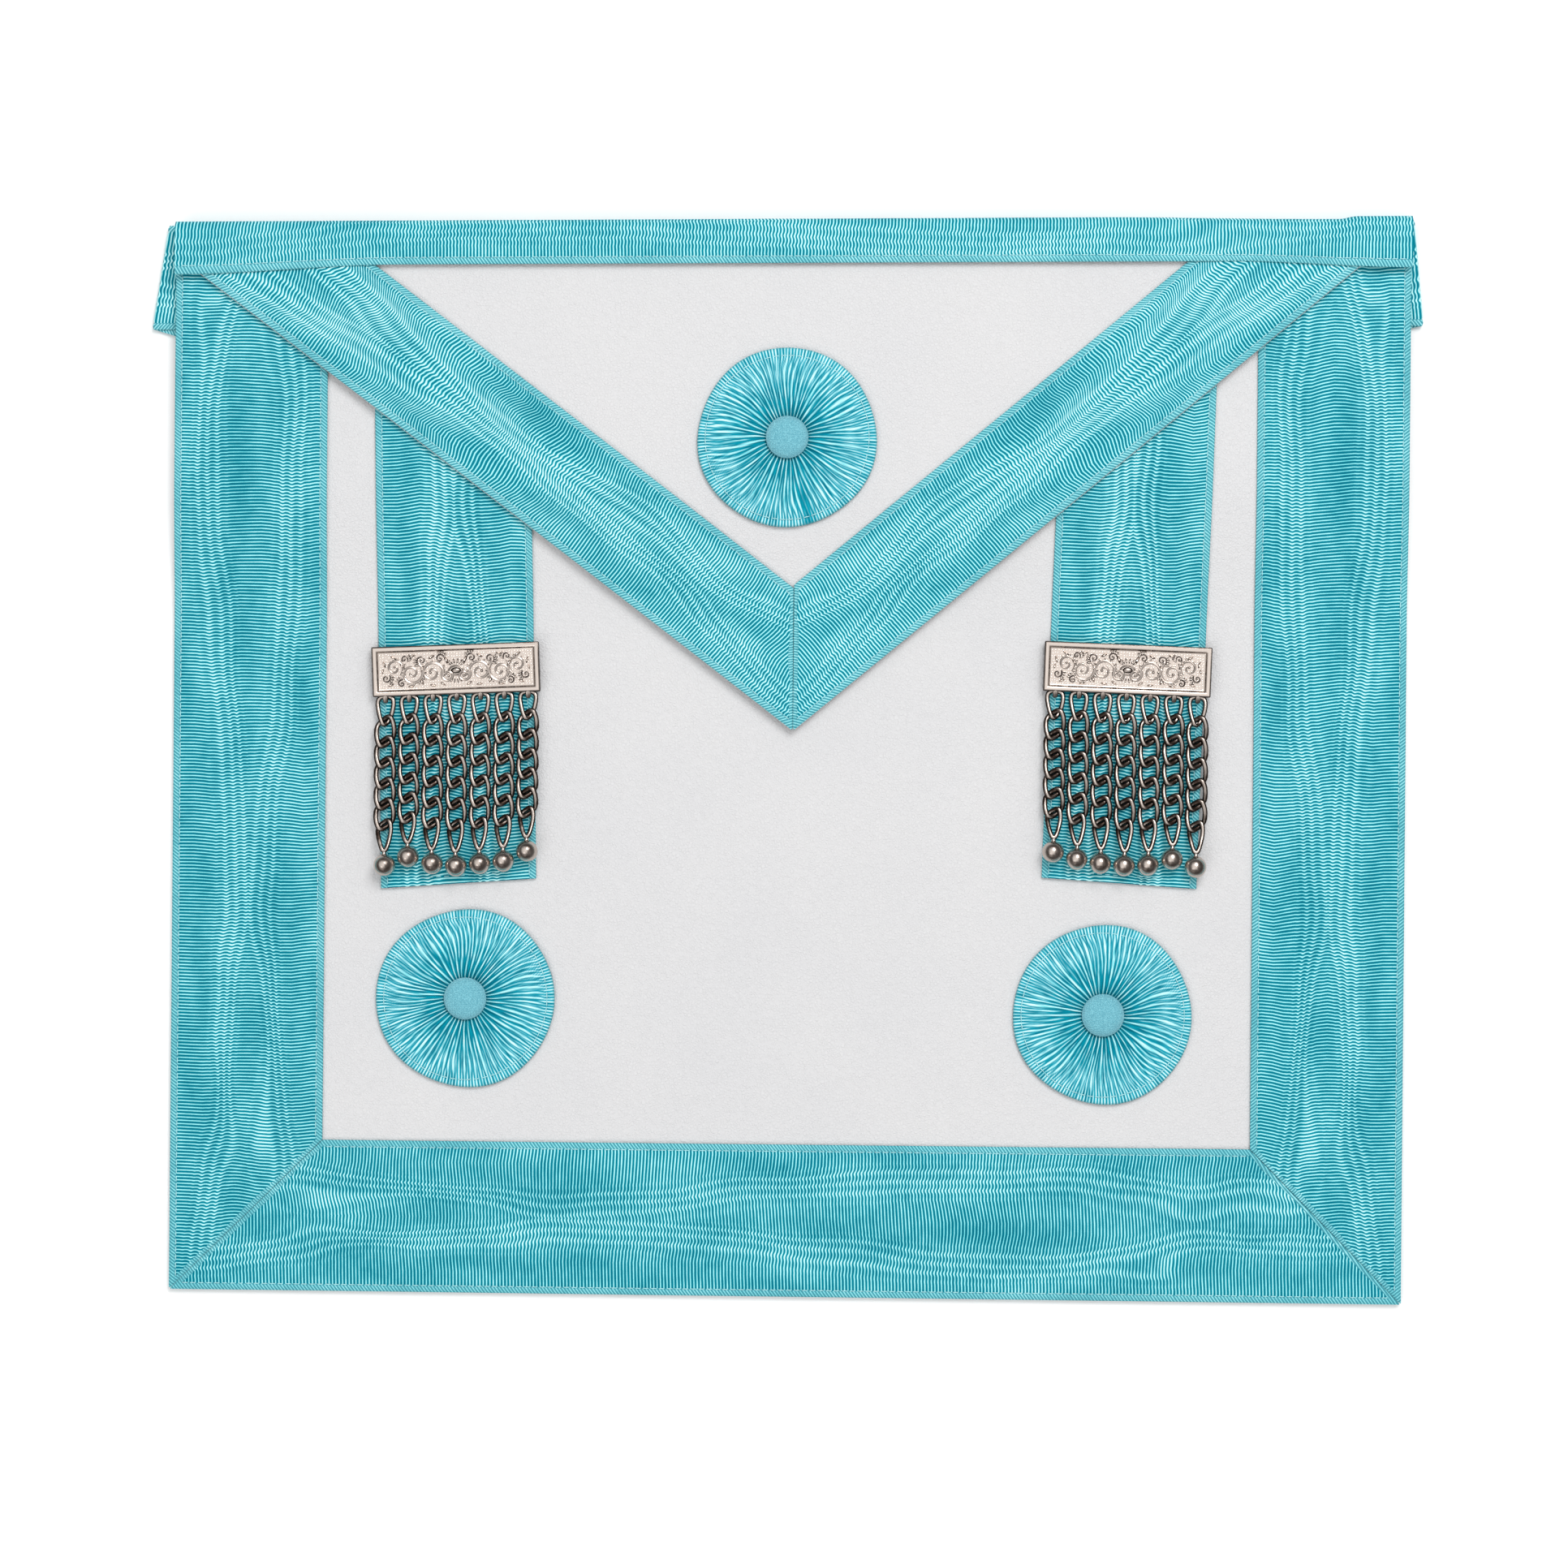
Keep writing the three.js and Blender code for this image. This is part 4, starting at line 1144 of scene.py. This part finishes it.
LEAVES = (
    {"at": (0.12, 0.52), "long": 2.2, "wide": 0.8, "turn": 60},
    {"at": (0.31, 0.70), "long": 1.9, "wide": 0.7, "turn": -28},
    {"at": (0.43, 0.10), "long": 2.2, "wide": 0.7, "turn": 96},
    {"at": (0.44, -0.58), "long": 1.9, "wide": 0.7, "turn": 70},
    {"at": (0.56, 0.78), "long": 1.9, "wide": 0.65, "turn": -14},
    {"at": (0.69, 0.28), "long": 2.0, "wide": 0.65, "turn": 48},
    {"at": (0.80, 0.72), "long": 1.9, "wide": 0.6, "turn": 30},
    {"at": (0.92, 0.38), "long": 1.9, "wide": 0.6, "turn": 75},
    {"at": (0.94, 0.02), "long": 1.5, "wide": 0.5, "turn": -80},
    {"at": (0.84, -0.72), "long": 1.8, "wide": 0.6, "turn": -24},
    {"at": (0.30, -0.80), "long": 1.8, "wide": 0.6, "turn": 8},
    {"at": (0.58, -0.82), "long": 1.8, "wide": 0.6, "turn": -6},
    {"at": (0.17, -0.74), "long": 1.7, "wide": 0.6, "turn": 32},
)


def scroll(row, mirror):
    turns = np.linspace(0, 1, 40)
    angle = np.radians(row["start"] + row["sweep"] * turns)
    reach = row["radius"] * FIELD_Y * (1 - 0.86 * turns)
    x = row["at"][0] * FIELD_X + reach * np.cos(angle)
    y = row["at"][1] * FIELD_Y + reach * np.sin(angle)
    wire = row["wire"] * (1 - 0.45 * turns)
    z = SLIDE_THICK + 0.6 * wire + 0.2 * turns
    points = np.stack([mirror * x, y, z], -1)
    parts = [tube(points, wire, 8)]
    parts.append(blob((mirror * x[-1], y[-1], SLIDE_THICK), (0.6 * row["wire"] + 0.2,) * 2 + (0.8,)))
    for k in range(row["leaves"]):
        i = 1 + 2 * k
        outward = math.atan2(y[i] - row["at"][1] * FIELD_Y, mirror * (x[i] - row["at"][0] * FIELD_X))
        turn = outward + mirror * math.copysign(0.8, row["sweep"])
        size = 0.95 - 0.05 * k
        at = (mirror * x[i] + 0.5 * math.cos(outward), y[i] + 0.5 * math.sin(outward), SLIDE_THICK)
        if abs(at[1]) < FIELD_Y - 0.6:
            parts.append(blob(at, (1.1 * size, 0.42 * size, 0.65), turn, around=8, rings=3, vein=0.3))
    return parts


def ornament():
    parts = []
    for mirror in (-1, 1):
        for row in SCROLLS:
            parts += scroll(row, mirror)
        for row in LEAVES:
            turn = math.radians(row["turn"])
            turn = turn if mirror > 0 else math.pi - turn
            at = (mirror * row["at"][0] * FIELD_X, row["at"][1] * FIELD_Y, SLIDE_THICK)
            parts.append(blob(at, (row["long"] / 1.6, row["wide"] / 1.4, 0.75), turn, vein=0.35))
    angle = np.linspace(0, math.tau, 32, endpoint=False)
    level = np.full_like(angle, SLIDE_THICK + 0.25)
    oval = np.stack([2.3 * np.cos(angle), 1.5 * np.sin(angle) - 0.3, level], -1)
    parts.append(tube(oval, 0.3, 8, closed=True))
    parts.append(blob((0, -0.3, SLIDE_THICK), (1.7, 1.0, 0.6), around=20, rings=5))
    for spread in (-64, -38, -13, 13, 38, 64):
        turn = math.radians(90 - spread)
        at = (2.6 * math.cos(turn), 1.3 + 1.5 * math.sin(turn), SLIDE_THICK)
        parts.append(blob(at, (1.0, 0.32, 0.6), turn, vein=0.3))
        parts.append(blob((at[0] * 0.9, -1.0 - at[1], SLIDE_THICK), (0.8, 0.28, 0.55), -turn, vein=0.3))
    return parts


def stipple():
    """Tiny grains over the sunk ground, on a slightly shaken grid."""
    shake = np.random.default_rng(7)
    parts = []
    for x in np.arange(-FIELD_X + 0.7, FIELD_X - 0.5, 0.9):
        for y in np.arange(-FIELD_Y + 0.7, FIELD_Y - 0.5, 0.9):
            dx, dy = shake.uniform(-0.2, 0.2, 2)
            parts.append(blob((x + dx, y + dy, SLIDE_THICK), (0.26, 0.26, 0.13), around=5, rings=1))
    return parts


def turned_ends():
    parts = []
    for end in (-1, 1):
        x = end * (SLIDE[0] / 2 - 0.7)
        y = SLIDE[1] / 2 - 1
        corner = np.array([[dx, dy, dz] for dx in (-0.7, 0.7) for dy in (-y, y) for dz in (-1.3, 0.6)])
        corner[:, 0] += x
        faces = [[0, 1, 3, 2], [4, 6, 7, 5], [0, 4, 5, 1], [2, 3, 7, 6], [0, 2, 6, 4], [1, 5, 7, 3]]
        parts.append((corner, faces))
    return parts


def hook_tab(x):
    """A short strap that leaves the rim's foot, passes over the ring and turns down inside it."""
    edge = -SLIDE[1] / 2
    level = np.array([[edge + 0.9, 2.05], [edge - 1.0, 2.05], [edge - 1.7, 1.6], [edge - 1.9, 0.7]])
    points = np.stack([np.full(4, x), level[:, 0], level[:, 1]], -1)
    mesh, faces = tube(points, [0.45, 0.45, 0.42, 0.36], 8)
    mesh[:, 0] = (mesh[:, 0] - x) * 1.9 + x
    return mesh, faces


CHAIN_PLACES = [(i - (CHAINS - 1) / 2) * SPACING for i in range(CHAINS)]
hooks = [hook_tab(x) for x in CHAIN_PLACES]
plain_parts = [(base_points, base_faces), *turned_ends(), *stipple(), *hooks]
slide_points, slide_faces = join([*plain_parts, *ornament()])
plain_count = sum(len(points) for points, _ in plain_parts)
print("slide", len(slide_points), "points")


# %% Placing what hangs on a tassel
def hang(points, row):
    """From a slide's own millimetres to the apron's, turned about the slide's middle."""
    turn = math.radians(row["turn"])
    c, s = math.cos(turn), math.sin(turn)
    x = points[:, 0] * c - points[:, 1] * s + row["across"]
    y = points[:, 0] * s + points[:, 1] * c + SLIDE_Y
    return np.stack([x, y, points[:, 2] + TASSEL_LEVEL], -1) + SHIFT


def slide_tarnish_and_shade(points):
    """Near 1 where the plate is darkest: tarnish with painted shade round the foot of the ornament, painted
    shadow along the foot of the rim, painted shade on the outer edges, and darker hooks below.
    """
    above = points[:, 2] - SLIDE_THICK
    foot = 1 - step(above, 0.3, 0.78)
    x, y = np.abs(points[:, 0]), np.abs(points[:, 1])
    inside = (x < FIELD_X + 0.05) & (y < FIELD_Y + 0.05) & (np.abs(above) < 0.05)
    rim_shadow = ((x > FIELD_X - 0.05) | (y > FIELD_Y - 0.05)) & inside
    edge_shade = (x > SLIDE[0] / 2 - 0.45) | (y > SLIDE[1] / 2 - 0.45)
    plain = np.where(rim_shadow, 1.0, np.where(edge_shade, 0.9, 0.04))
    plain = np.where(points[:, 1] < -SLIDE[1] / 2 - 0.05, 0.85, plain)
    return np.where(np.arange(len(points)) < plain_count, plain, 0.06 + 0.94 * foot)


for row in TASSELS:
    points = hang(slide_points, row)
    piece = mesh_of("slide_plate_" + row["side"], points, slide_faces, plate.material)
    mark(piece.data, "tarnish_and_shade", slide_tarnish_and_shade(slide_points))
    smooth_below(piece, 38)
    keep(piece, "plated", "slide_" + row["side"])
    print(piece.name, triangles(piece), "triangles")

# %% [markdown]
# ## Chains and balls
#
# Seven curb chains hang from each slide. A pear-shaped ring goes on the hook, wide at its top and
# narrow at its foot. Five twisted links follow, each turned so that it lies flat and passes through
# the next, and a last ring narrows to the ball's neck. A link is a tube of wire along a bent oval.
# One link could be copied by an array, but then no chain could sway or end in a narrower ring, so
# each link is bent between its own two joints.

# %% Chains
WIRE = 1.65
LINK_WIDTH = 7.6
LINK_HALF = (LINK_WIDTH - WIRE) / 2
CLEARANCE = 0.3
WIRE_SEAT = 0.625
HOOK_Y = -SLIDE[1] / 2 - CLEARANCE - WIRE_SEAT
DROPS = {
    "left": (0.98, 0.93, 0.98, 1, 0.99, 0.98, 0.92),
    "right": (0.93, 0.97, 0.99, 1, 0.99, 0.945, 0.99),
}
PITCHES = (7.2, 6.93, 6.93, 6.93, 6.93, 6.93, 7.7)
HOOK_LEVEL = 0.775
CURB_LEVEL = 1.45
FLAT = 0.62
BALL = 7.2
NECK = 0.7
RING_REACH = 0.4625
LINK_TWIST = math.radians(34)
JOIN = 0.6
END_SLANT = 0.5
HIGHLIGHT_SPOT = np.array(Vector((-0.17, 0.12, 1)).normalized())


def link(top, foot, top_twist, foot_twist, top_half, foot_half, wire):
    """One ring of wire between two joints; each half is turned about the chain."""
    angle = math.tau * (np.arange(24) + 0.5) / 24
    half = (top[1] - foot[1]) / 2 + JOIN * WIRE
    middle = (top + foot) / 2
    along = np.sign(np.sin(angle)) * np.abs(np.sin(angle)) ** 0.8
    twist = np.where(along > 0, top_twist, foot_twist) * np.abs(along)
    wide = np.sign(np.cos(angle)) * np.abs(np.cos(angle)) ** 0.62
    wide = wide * (foot_half + (top_half - foot_half) * (1 + along) / 2)
    slant = END_SLANT * wide * np.abs(along) ** 1.5
    slant = slant * np.where(along > 0, top_twist != 0, foot_twist != 0)
    drift = (top - foot) / 2
    points = np.stack([
        middle[0] + drift[0] * along + wide * np.cos(twist),
        middle[1] + half * along + slant,
        middle[2] + drift[2] * along + wide * np.sin(twist),
    ], -1)
    mesh, faces = tube(points, wire / 2, 14, closed=True)
    spine = np.interp(mesh[:, 1], [foot[1], top[1]], [foot[2], top[2]])
    mesh[:, 2] = spine + (mesh[:, 2] - spine) * FLAT
    return mesh, faces


def chain_joints(x, share, sway):
    down = np.concatenate([[0], np.cumsum(PITCHES)])
    joints = np.zeros((len(down), 3))
    joints[:, 0] = x + sway * down / down[-1]
    joints[:, 1] = HOOK_Y - down * share
    joints[:, 2] = CURB_LEVEL
    joints[0, 2] = HOOK_LEVEL
    joints[-1, 2] = BALL / 2
    return joints


def link_painted_light(normals):
    """Painted highlight along the top of the wire; the rest is painted shade and dark painted reflection.
    """
    return 1.0 - 0.85 * step(normals[:, 2], 0.94, 1.0)


def ball_painted_reflection(normals):
    """Painted reflection: bright round its side, a dark painted reflection on top, and one painted
    highlight spot.
    """
    top = step(normals[:, 2], 0.58, 0.84)
    spot_highlight = step(normals @ HIGHLIGHT_SPOT, 0.925, 0.975)
    return 0.1 + 0.78 * top * (1 - spot_highlight)


def paint_by_facing(piece, rule):
    """Painted light from 0, bright, to 1, dark, by where the metal faces."""
    mark(piece.data, "tarnish_and_shade", rule(np.array([v.normal for v in piece.data.vertices])))


def chain(joints):
    parts = []
    for i in range(len(PITCHES)):
        first, last = i == 0, i == len(PITCHES) - 1
        parts.append(link(
            joints[i], joints[i + 1],
            0 if first else LINK_TWIST,
            0 if last else -LINK_TWIST,
            LINK_HALF * (1.08 if first else 1),
            LINK_HALF * (0.5 if first else 0.3 if last else 1),
            WIRE * (0.92 if first or last else 1),
        ))
    return parts


def ball_shape(foot):
    """A plain ball with a small collar where the last ring holds it."""
    below = RING_REACH + WIRE_SEAT + CLEARANCE + NECK
    centre = np.array([foot[0], foot[1] - below - BALL / 2, BALL / 2])
    bpy.ops.object.select_all(action="DESELECT")
    bpy.ops.mesh.primitive_uv_sphere_add(segments=36, ring_count=24, radius=BALL / 2)
    ball = bpy.context.object
    points = np.array([v.co for v in ball.data.vertices])
    faces = [list(p.vertices) for p in ball.data.polygons]
    bpy.data.objects.remove(ball)
    turned = np.stack([points[:, 0], points[:, 2], -points[:, 1]], -1) + centre
    collar = centre + np.array([[0, BALL / 2 + up, 0] for up in (-0.3, 0.2, 0.9, 1.3)])
    return join([(turned, faces), tube(collar, [0.9, 0.75, 0.55, 0.3], 10)])


def plated(name, shape, row, rule, node):
    """A piece that hangs on a tassel, with painted light and shade set by a rule."""
    points, faces = shape
    piece = mesh_of(name, hang(points, row), faces, plate.material)
    paint_by_facing(piece, rule)
    return keep(piece, "plated", node)


for row in TASSELS:
    side = row["side"]
    for i, x in enumerate(CHAIN_PLACES):
        end = f"{side}_{i + 1}"
        joints = chain_joints(x, DROPS[side][i], row["sway"])
        links = plated("links_" + end, join(chain(joints)), row, link_painted_light, "chain_" + end)
        ball = plated("drop_" + end, ball_shape(joints[-1]), row, ball_painted_reflection, "ball_" + end)
print("a chain has", triangles(links), "triangles, a ball", triangles(ball))

# %% [markdown]
# ## Rosettes
#
# A rosette is a strip of moire gathered tightly along one edge. Its folds start close together under
# the button, waver, merge and flatten towards the rim, where the ribs stand like spokes and a ring
# of stitches holds it down. Gathers could be simulated, but folds this fine would take minutes and
# come out uneven, so it is made as a disc of many spokes, and the folds are raised by a formula
# along paths that wander as they go outwards.

# %% Rosette finish
ROSETTE = 29.0
rosette_cloth = Finish("moire_rosette", Roughness=0.45, Specular_IOR_Level=0.03)
rosette_uv = rosette_cloth.add("UVMap", {"uv_map": "weave"}, {})
outward, spoke, _ = rosette_cloth.parts(rosette_uv)
crest_line = rosette_cloth.attribute("crest")
flecks = rosette_cloth.noise(rosette_cloth.vector(outward / 6, spoke / 1.0), 1, 2)
clouds = rosette_cloth.noise(rosette_cloth.vector(outward / 5, spoke / 5), 1, 3)
# Painted light: crest lines are drawn in a lit colour and valleys in a shaded one, and noise picks which
# lines carry the brightest painted highlight.
painted_highlight = (flecks * 1.6 + clouds * 0.7 + outward.rise(14, 27) * 0.2 - 0.72).rise(0.0, 1.0)
rosette_shaded = rosette_cloth.mix(painted_highlight, colour(0, 104, 126), colour(0, 158, 178))
rosette_lit = rosette_cloth.mix(painted_highlight, colour(98, 214, 224), colour(218, 255, 255))
lines = (crest_line + (flecks - 0.5) * 0.5).rise(0.25, 0.95)
rosette_face = rosette_cloth.mix(lines, rosette_shaded, rosette_lit)
rim_edge = outward.rise(ROSETTE - 0.7, ROSETTE - 0.2)
rosette_cloth.feed(Base_Color=rosette_cloth.mix(rim_edge * 0.4, rosette_face, colour(90, 160, 168)))
rosette_cloth.bump(crest_line * 0.5 + flecks * 0.4, 0.2, 0.6)

# %% Rosette shape
CROWN = 3.6
CROWN_AT = (0, 0.2, 0.25, 0.33, 0.66, 1.0)
CROWN_SHARE = (0.45, 0.45, 0.5, 0.9, 0.72, 0.45)
RIBS = 176
ROSETTE_ROUND = 5 * RIBS
RADII = (0.2, 4, 6.2, *np.linspace(7, 26, 26), 26.4, 26.8, 27.2, 27.8, 28.5, ROSETTE)
UNDER_RADIUS = 14
UNDER_STEP = 8
STRIP = (22, 182)


def gather_lines(r, t, ribs, seed):
    """Crest height from 0 to 1: every other line dies out on the way in, twice."""
    pull = 0.018 * np.sin(7 * t + seed + r / 7) + 0.008 * np.sin(13 * t - r / 6 + 2 * seed)
    pull = pull + 0.004 * np.sin(31 * t + r / 3 + seed)
    bow = 0.05 * np.sin(2 * t + seed) + 0.04 * np.sin(3 * t - 2 * seed)
    bow = bow * np.sin(math.pi * np.clip((r - 7) / 19, 0, 1))
    turn = t + pull * (1 - step(r, 20, 27)) + bow
    line = lambda count: 0.5 + 0.5 * np.cos(count * turn)
    sector = 0.5 + 0.5 * np.sin(5 * t + seed + r / 9) * np.sin(8 * t - seed)
    uneven = 0.85 + 0.15 * np.sin(19 * t + seed) * np.sin(7 * t - seed)
    crest = uneven * line(ribs / 4) ** (1.3 + 2.2 * step(r, 8, 20)) * (1 - 0.2 * step(r, 20, 26))
    between = step(r, 9 + 2 * sector, 14 + 3 * sector)
    crest = np.maximum(crest, (0.62 + 0.33 * sector) * line(ribs / 2) ** 1.5 * between)
    crest = np.maximum(crest, (0.62 - 0.25 * sector) * line(ribs) * step(r, 14, 20))
    rim = step(r, 23.5, 26)
    crest = crest + (np.maximum(crest * 0.6, 0.85 * line(ribs)) - crest) * rim
    return crest, line(ribs / 4) * (1 - step(r, 9, 24))


def rosette(name, centre, level, seed, depth, deep_fold):
    """A gathered disc; deep_fold is the angle, width and depth of one crease, or None."""
    angle = math.tau * np.arange(ROSETTE_ROUND) / ROSETTE_ROUND
    r, t = np.meshgrid(RADII, angle, indexing="ij")
    crest, fold = gather_lines(r, t, RIBS, seed)
    share = r / ROSETTE
    margin = ROSETTE - r
    height = CROWN * np.interp(share, CROWN_AT, CROWN_SHARE)
    groove = 0.25 * np.exp(-(((margin - STITCH_IN) / 0.4) ** 2))
    roll = 0.5 * (1 - step(margin, 0, 0.8))
    pleated = step(r, 5, 8)
    z = height + pleated * (0.3 * crest + depth * fold) - 0.3 - groove - roll
    if deep_fold is not None:
        at, width, amount = deep_fold
        gap = (t - at + math.pi) % math.tau - math.pi
        cut = np.exp(-((gap * r / width) ** 2)) * step(share, 0.4, 0.7)
        z = z - amount * cut
        # Painted shade in the crease: its crest lines are drawn dimmer.
        crest = crest * (1 - 0.5 * cut)
    z = np.clip(z, 0.4, CROWN + 0.6)
    wobble = 0.008 * np.sin(3 * t + seed) + 0.006 * np.sin(5 * t - seed) + 0.012
    reach = r * (1 + step(share, 0.5, 1) * wobble)
    flat_points = np.stack([centre[0] + reach * np.cos(t), centre[1] + reach * np.sin(t), level + z], -1)
    over = lay(flat_points).reshape(-1, 3)
    last_ring = flat_points[-1].copy()
    last_ring[:, 2] = level
    few = angle[::UNDER_STEP]
    inner_x = centre[0] + UNDER_RADIUS * np.cos(few)
    inner_y = centre[1] + UNDER_RADIUS * np.sin(few)
    inner_rim = np.stack([inner_x, inner_y, np.full_like(few, level)], -1)
    middle = lay(np.array([[centre[0], centre[1], level]]))
    points = np.concatenate([over, lay(last_ring), lay(inner_rim), middle])
    rings, around = r.shape
    faces = between_rings(rings, around)
    faces.append(list(range(around)))
    smooth = len(faces)
    last = (rings - 1) * around
    foot = rings * around
    inner = foot + around
    steps = len(few)
    for i in range(around):
        n = (i + 1) % around
        faces.append([last + i, foot + i, foot + n, last + n])
    for i in range(steps):
        n = (i + 1) % steps
        arc = [foot + (UNDER_STEP * i + k) % around for k in range(UNDER_STEP + 1)]
        faces.append(arc[::-1] + [inner + i, inner + n])
        faces.append([inner + i, inner + steps, inner + n])
    piece = mesh_of(name, points + SHIFT, faces, rosette_cloth.material, smooth)
    extra = len(points) - r.size
    across = np.concatenate([r.ravel(), np.full(extra, ROSETTE)])
    turns = np.concatenate([(t * RIBS / math.tau * PITCH).ravel(), np.zeros(extra)])
    weave_map(piece.data, across, turns)
    mark(piece.data, "crest", np.concatenate([crest.ravel(), np.zeros(extra)]))
    return piece


AT_FLAP = (-1.7, FLAP_POINT + (ARM + 10 + ROSETTE) / math.cos(RISE_LEFT))
AT_LEFT = (-105.8, HEM_Y - 9.6 - ROSETTE)
AT_RIGHT = (103.6, HEM_Y - 13.4 - ROSETTE)
DEEP_FOLD = (-1.3, 1.6, 0.35)
ROSETTES = (
    {"side": "flap", "at": AT_FLAP, "on": "leather_flap", "level": ARM_LEVEL, "seed": 3, "fold": 0.45},
    {"side": "left", "at": AT_LEFT, "on": "leather_body", "level": BORDER_LEVEL, "seed": 11, "fold": 0.5},
    {"side": "right", "at": AT_RIGHT, "on": "leather_body", "level": BORDER_LEVEL, "seed": 23, "fold": 0.5},
)
for row in ROSETTES:
    side = row["side"]
    deep_fold = DEEP_FOLD if side == "flap" else None
    piece = rosette("gathered_" + side, row["at"], row["level"], row["seed"], row["fold"], deep_fold)
    keep(piece, "moire", "rosette_" + side)
    cut_to(piece, *STRIP, "gathered", row["on"])
    print(piece.name, triangles(piece), "triangles")

# %% [markdown]
# ## Buttons
#
# A button is a metal dome with cloth pulled round it. It starts as a sphere, is cut off at its base
# and flattened, and its skirt turns in where the cloth is tucked under. A cylinder would need its
# top swelled, where a sphere is round from the start.


# %% Buttons
BASE = -0.45
FLARE = 0.05


def button(name, node):
    """The dome is cut off at BASE of its radius and widens by FLARE where the cloth is tucked."""
    low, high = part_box(node)
    bpy.ops.object.select_all(action="DESELECT")
    bpy.ops.mesh.primitive_uv_sphere_add(segments=48, ring_count=28, radius=1)
    piece = bpy.context.object
    piece.name = name
    bpy.ops.object.mode_set(mode="EDIT")
    bpy.ops.mesh.select_all(action="SELECT")
    bpy.ops.mesh.bisect(plane_co=(0, 0, BASE), plane_no=(0, 0, 1), use_fill=True, clear_inner=True)
    bpy.ops.object.mode_set(mode="OBJECT")
    middle = (low + high) / 2
    size = high - low
    for vertex in piece.data.vertices:
        x, y, z = vertex.co
        dome = (z - BASE) / (1 - BASE)
        flare = (1 + FLARE * math.exp(-((dome - 0.3) / 0.12) ** 2)) / (1 + FLARE)
        vertex.co = (
            middle.x + x * size.x / 2 * flare,
            middle.y + y * size.y / 2 * flare,
            low.z + size.z * dome ** 1.1,
        )
    piece.data.materials.append(covered.material)
    bpy.ops.object.shade_smooth_by_angle(angle=math.radians(50))
    return keep(piece, "covered", node)


for side in ("flap", "left", "right"):
    made = button("cloth_button_" + side, "button_" + side)
print("a button has", triangles(made), "triangles")

# %% [markdown]
# ## Stitches
#
# A line of small stitches runs just inside the edges of the borders, the arms and the hems. Each is
# a short pale thread that rises from the cloth and dives back into it. One is made and copied along
# the lines, with one mesh for each kind of seam. Dashes drawn on the ribbon would be quicker, but
# thread stands up and catches the light from the side.

# %% Stitch lines
STITCH = 2.6
THREAD = 0.3
THREAD_SUNK = 0.28
HEM_IN = 2.6


def stitch_shape():
    x = np.array([-0.5, -0.32, 0, 0.32, 0.5]) * (STITCH - 0.5)
    z = np.array([-0.18, 0.08, 0.16, 0.08, -0.18])
    points = np.stack([x, np.zeros(5), z], -1)
    return tube(points, [0.08, THREAD / 2, THREAD / 2, THREAD / 2, 0.08], 4)


STITCH_POINTS, STITCH_FACES = stitch_shape()


def stitches(place, start, end, a):
    """Stitches along a ribbon at a fixed distance a across it."""
    count = max(1, int((end - start) / STITCH))
    s = start + (np.arange(count) + 0.5) * (end - start) / count
    width = np.full_like(s, a)
    here, up = place(width, s)
    ahead, _ = place(width, s + 0.5)
    parts = []
    for p, q, n in zip(here, ahead, up):
        along = (q - p) / np.linalg.norm(q - p)
        side = np.cross(n, along)
        seat = p + n * (RIBBON / 2 - THREAD_SUNK)
        parts.append((seat + STITCH_POINTS @ np.array([along, side, n]), STITCH_FACES))
    return parts


def sew(name, parts):
    points, faces = join(parts)
    keep(mesh_of(name, points + SHIFT, faces, silk.material), "moire")
    print(name, len(parts), "stitches")


side_stitches = []
for rule in (left_rule, right_rule):
    side_stitches += stitches(rule, 4, SIDE_LENGTH - 1, STITCH_IN)
    side_stitches += stitches(rule, BORDER + 1, SIDE_LENGTH - 1, BORDER - STITCH_IN)
sew("stitches_sides", side_stitches)
bottom_stitches = stitches(bottom_rule, 4, WIDTH - 4, STITCH_IN)
bottom_stitches += stitches(bottom_rule, BORDER + 1, WIDTH - BORDER - 1, BORDER - STITCH_IN)
sew("stitches_bottom", bottom_stitches)
band_stitches = stitches(band_place, 2, WIDTH - 2, STITCH_IN)
sew("stitches_band", band_stitches)
arm_stitches = []
for rule, corner_run in ARM_RULES:
    arm_stitches += stitches(rule, 3, corner_run[0], STITCH_IN)
    arm_stitches += stitches(rule, corner_run[1], corner_run[2], ARM - STITCH_IN)
sew("stitches_arms", arm_stitches)
hem_stitches = []
for row in TASSELS:
    rule = tassel_rule(row)
    hem_stitches += stitches(rule, 1, TASSEL_LENGTH - 1, STITCH_IN)
    hem_stitches += stitches(rule, 1, TASSEL_LENGTH - 1, TASSEL_RIBBON - STITCH_IN)
    turned_rule = lambda a, s, rule=rule: rule(s, a)
    hem_stitches += stitches(turned_rule, 2, TASSEL_RIBBON - 2, HEM_IN)
sew("stitches_tassels", hem_stitches)


def ring_rule(centre, level):
    """Places a point on a rosette's rim; s runs round it and a inwards from its edge."""
    def place(a, s):
        turn = s / (ROSETTE - STITCH_IN)
        r = ROSETTE - a
        z = np.full_like(r, level + CROWN * 0.48 - 0.25)
        points = np.stack([centre[0] + r * np.cos(turn), centre[1] + r * np.sin(turn), z], -1)
        return lay(points), skyward(points)
    return place


ring_stitches = []
for row in ROSETTES:
    rule = ring_rule(row["at"], row["level"])
    ring_stitches += stitches(rule, 0, math.tau * (ROSETTE - STITCH_IN), STITCH_IN)
sew("stitches_rosettes", ring_stitches)
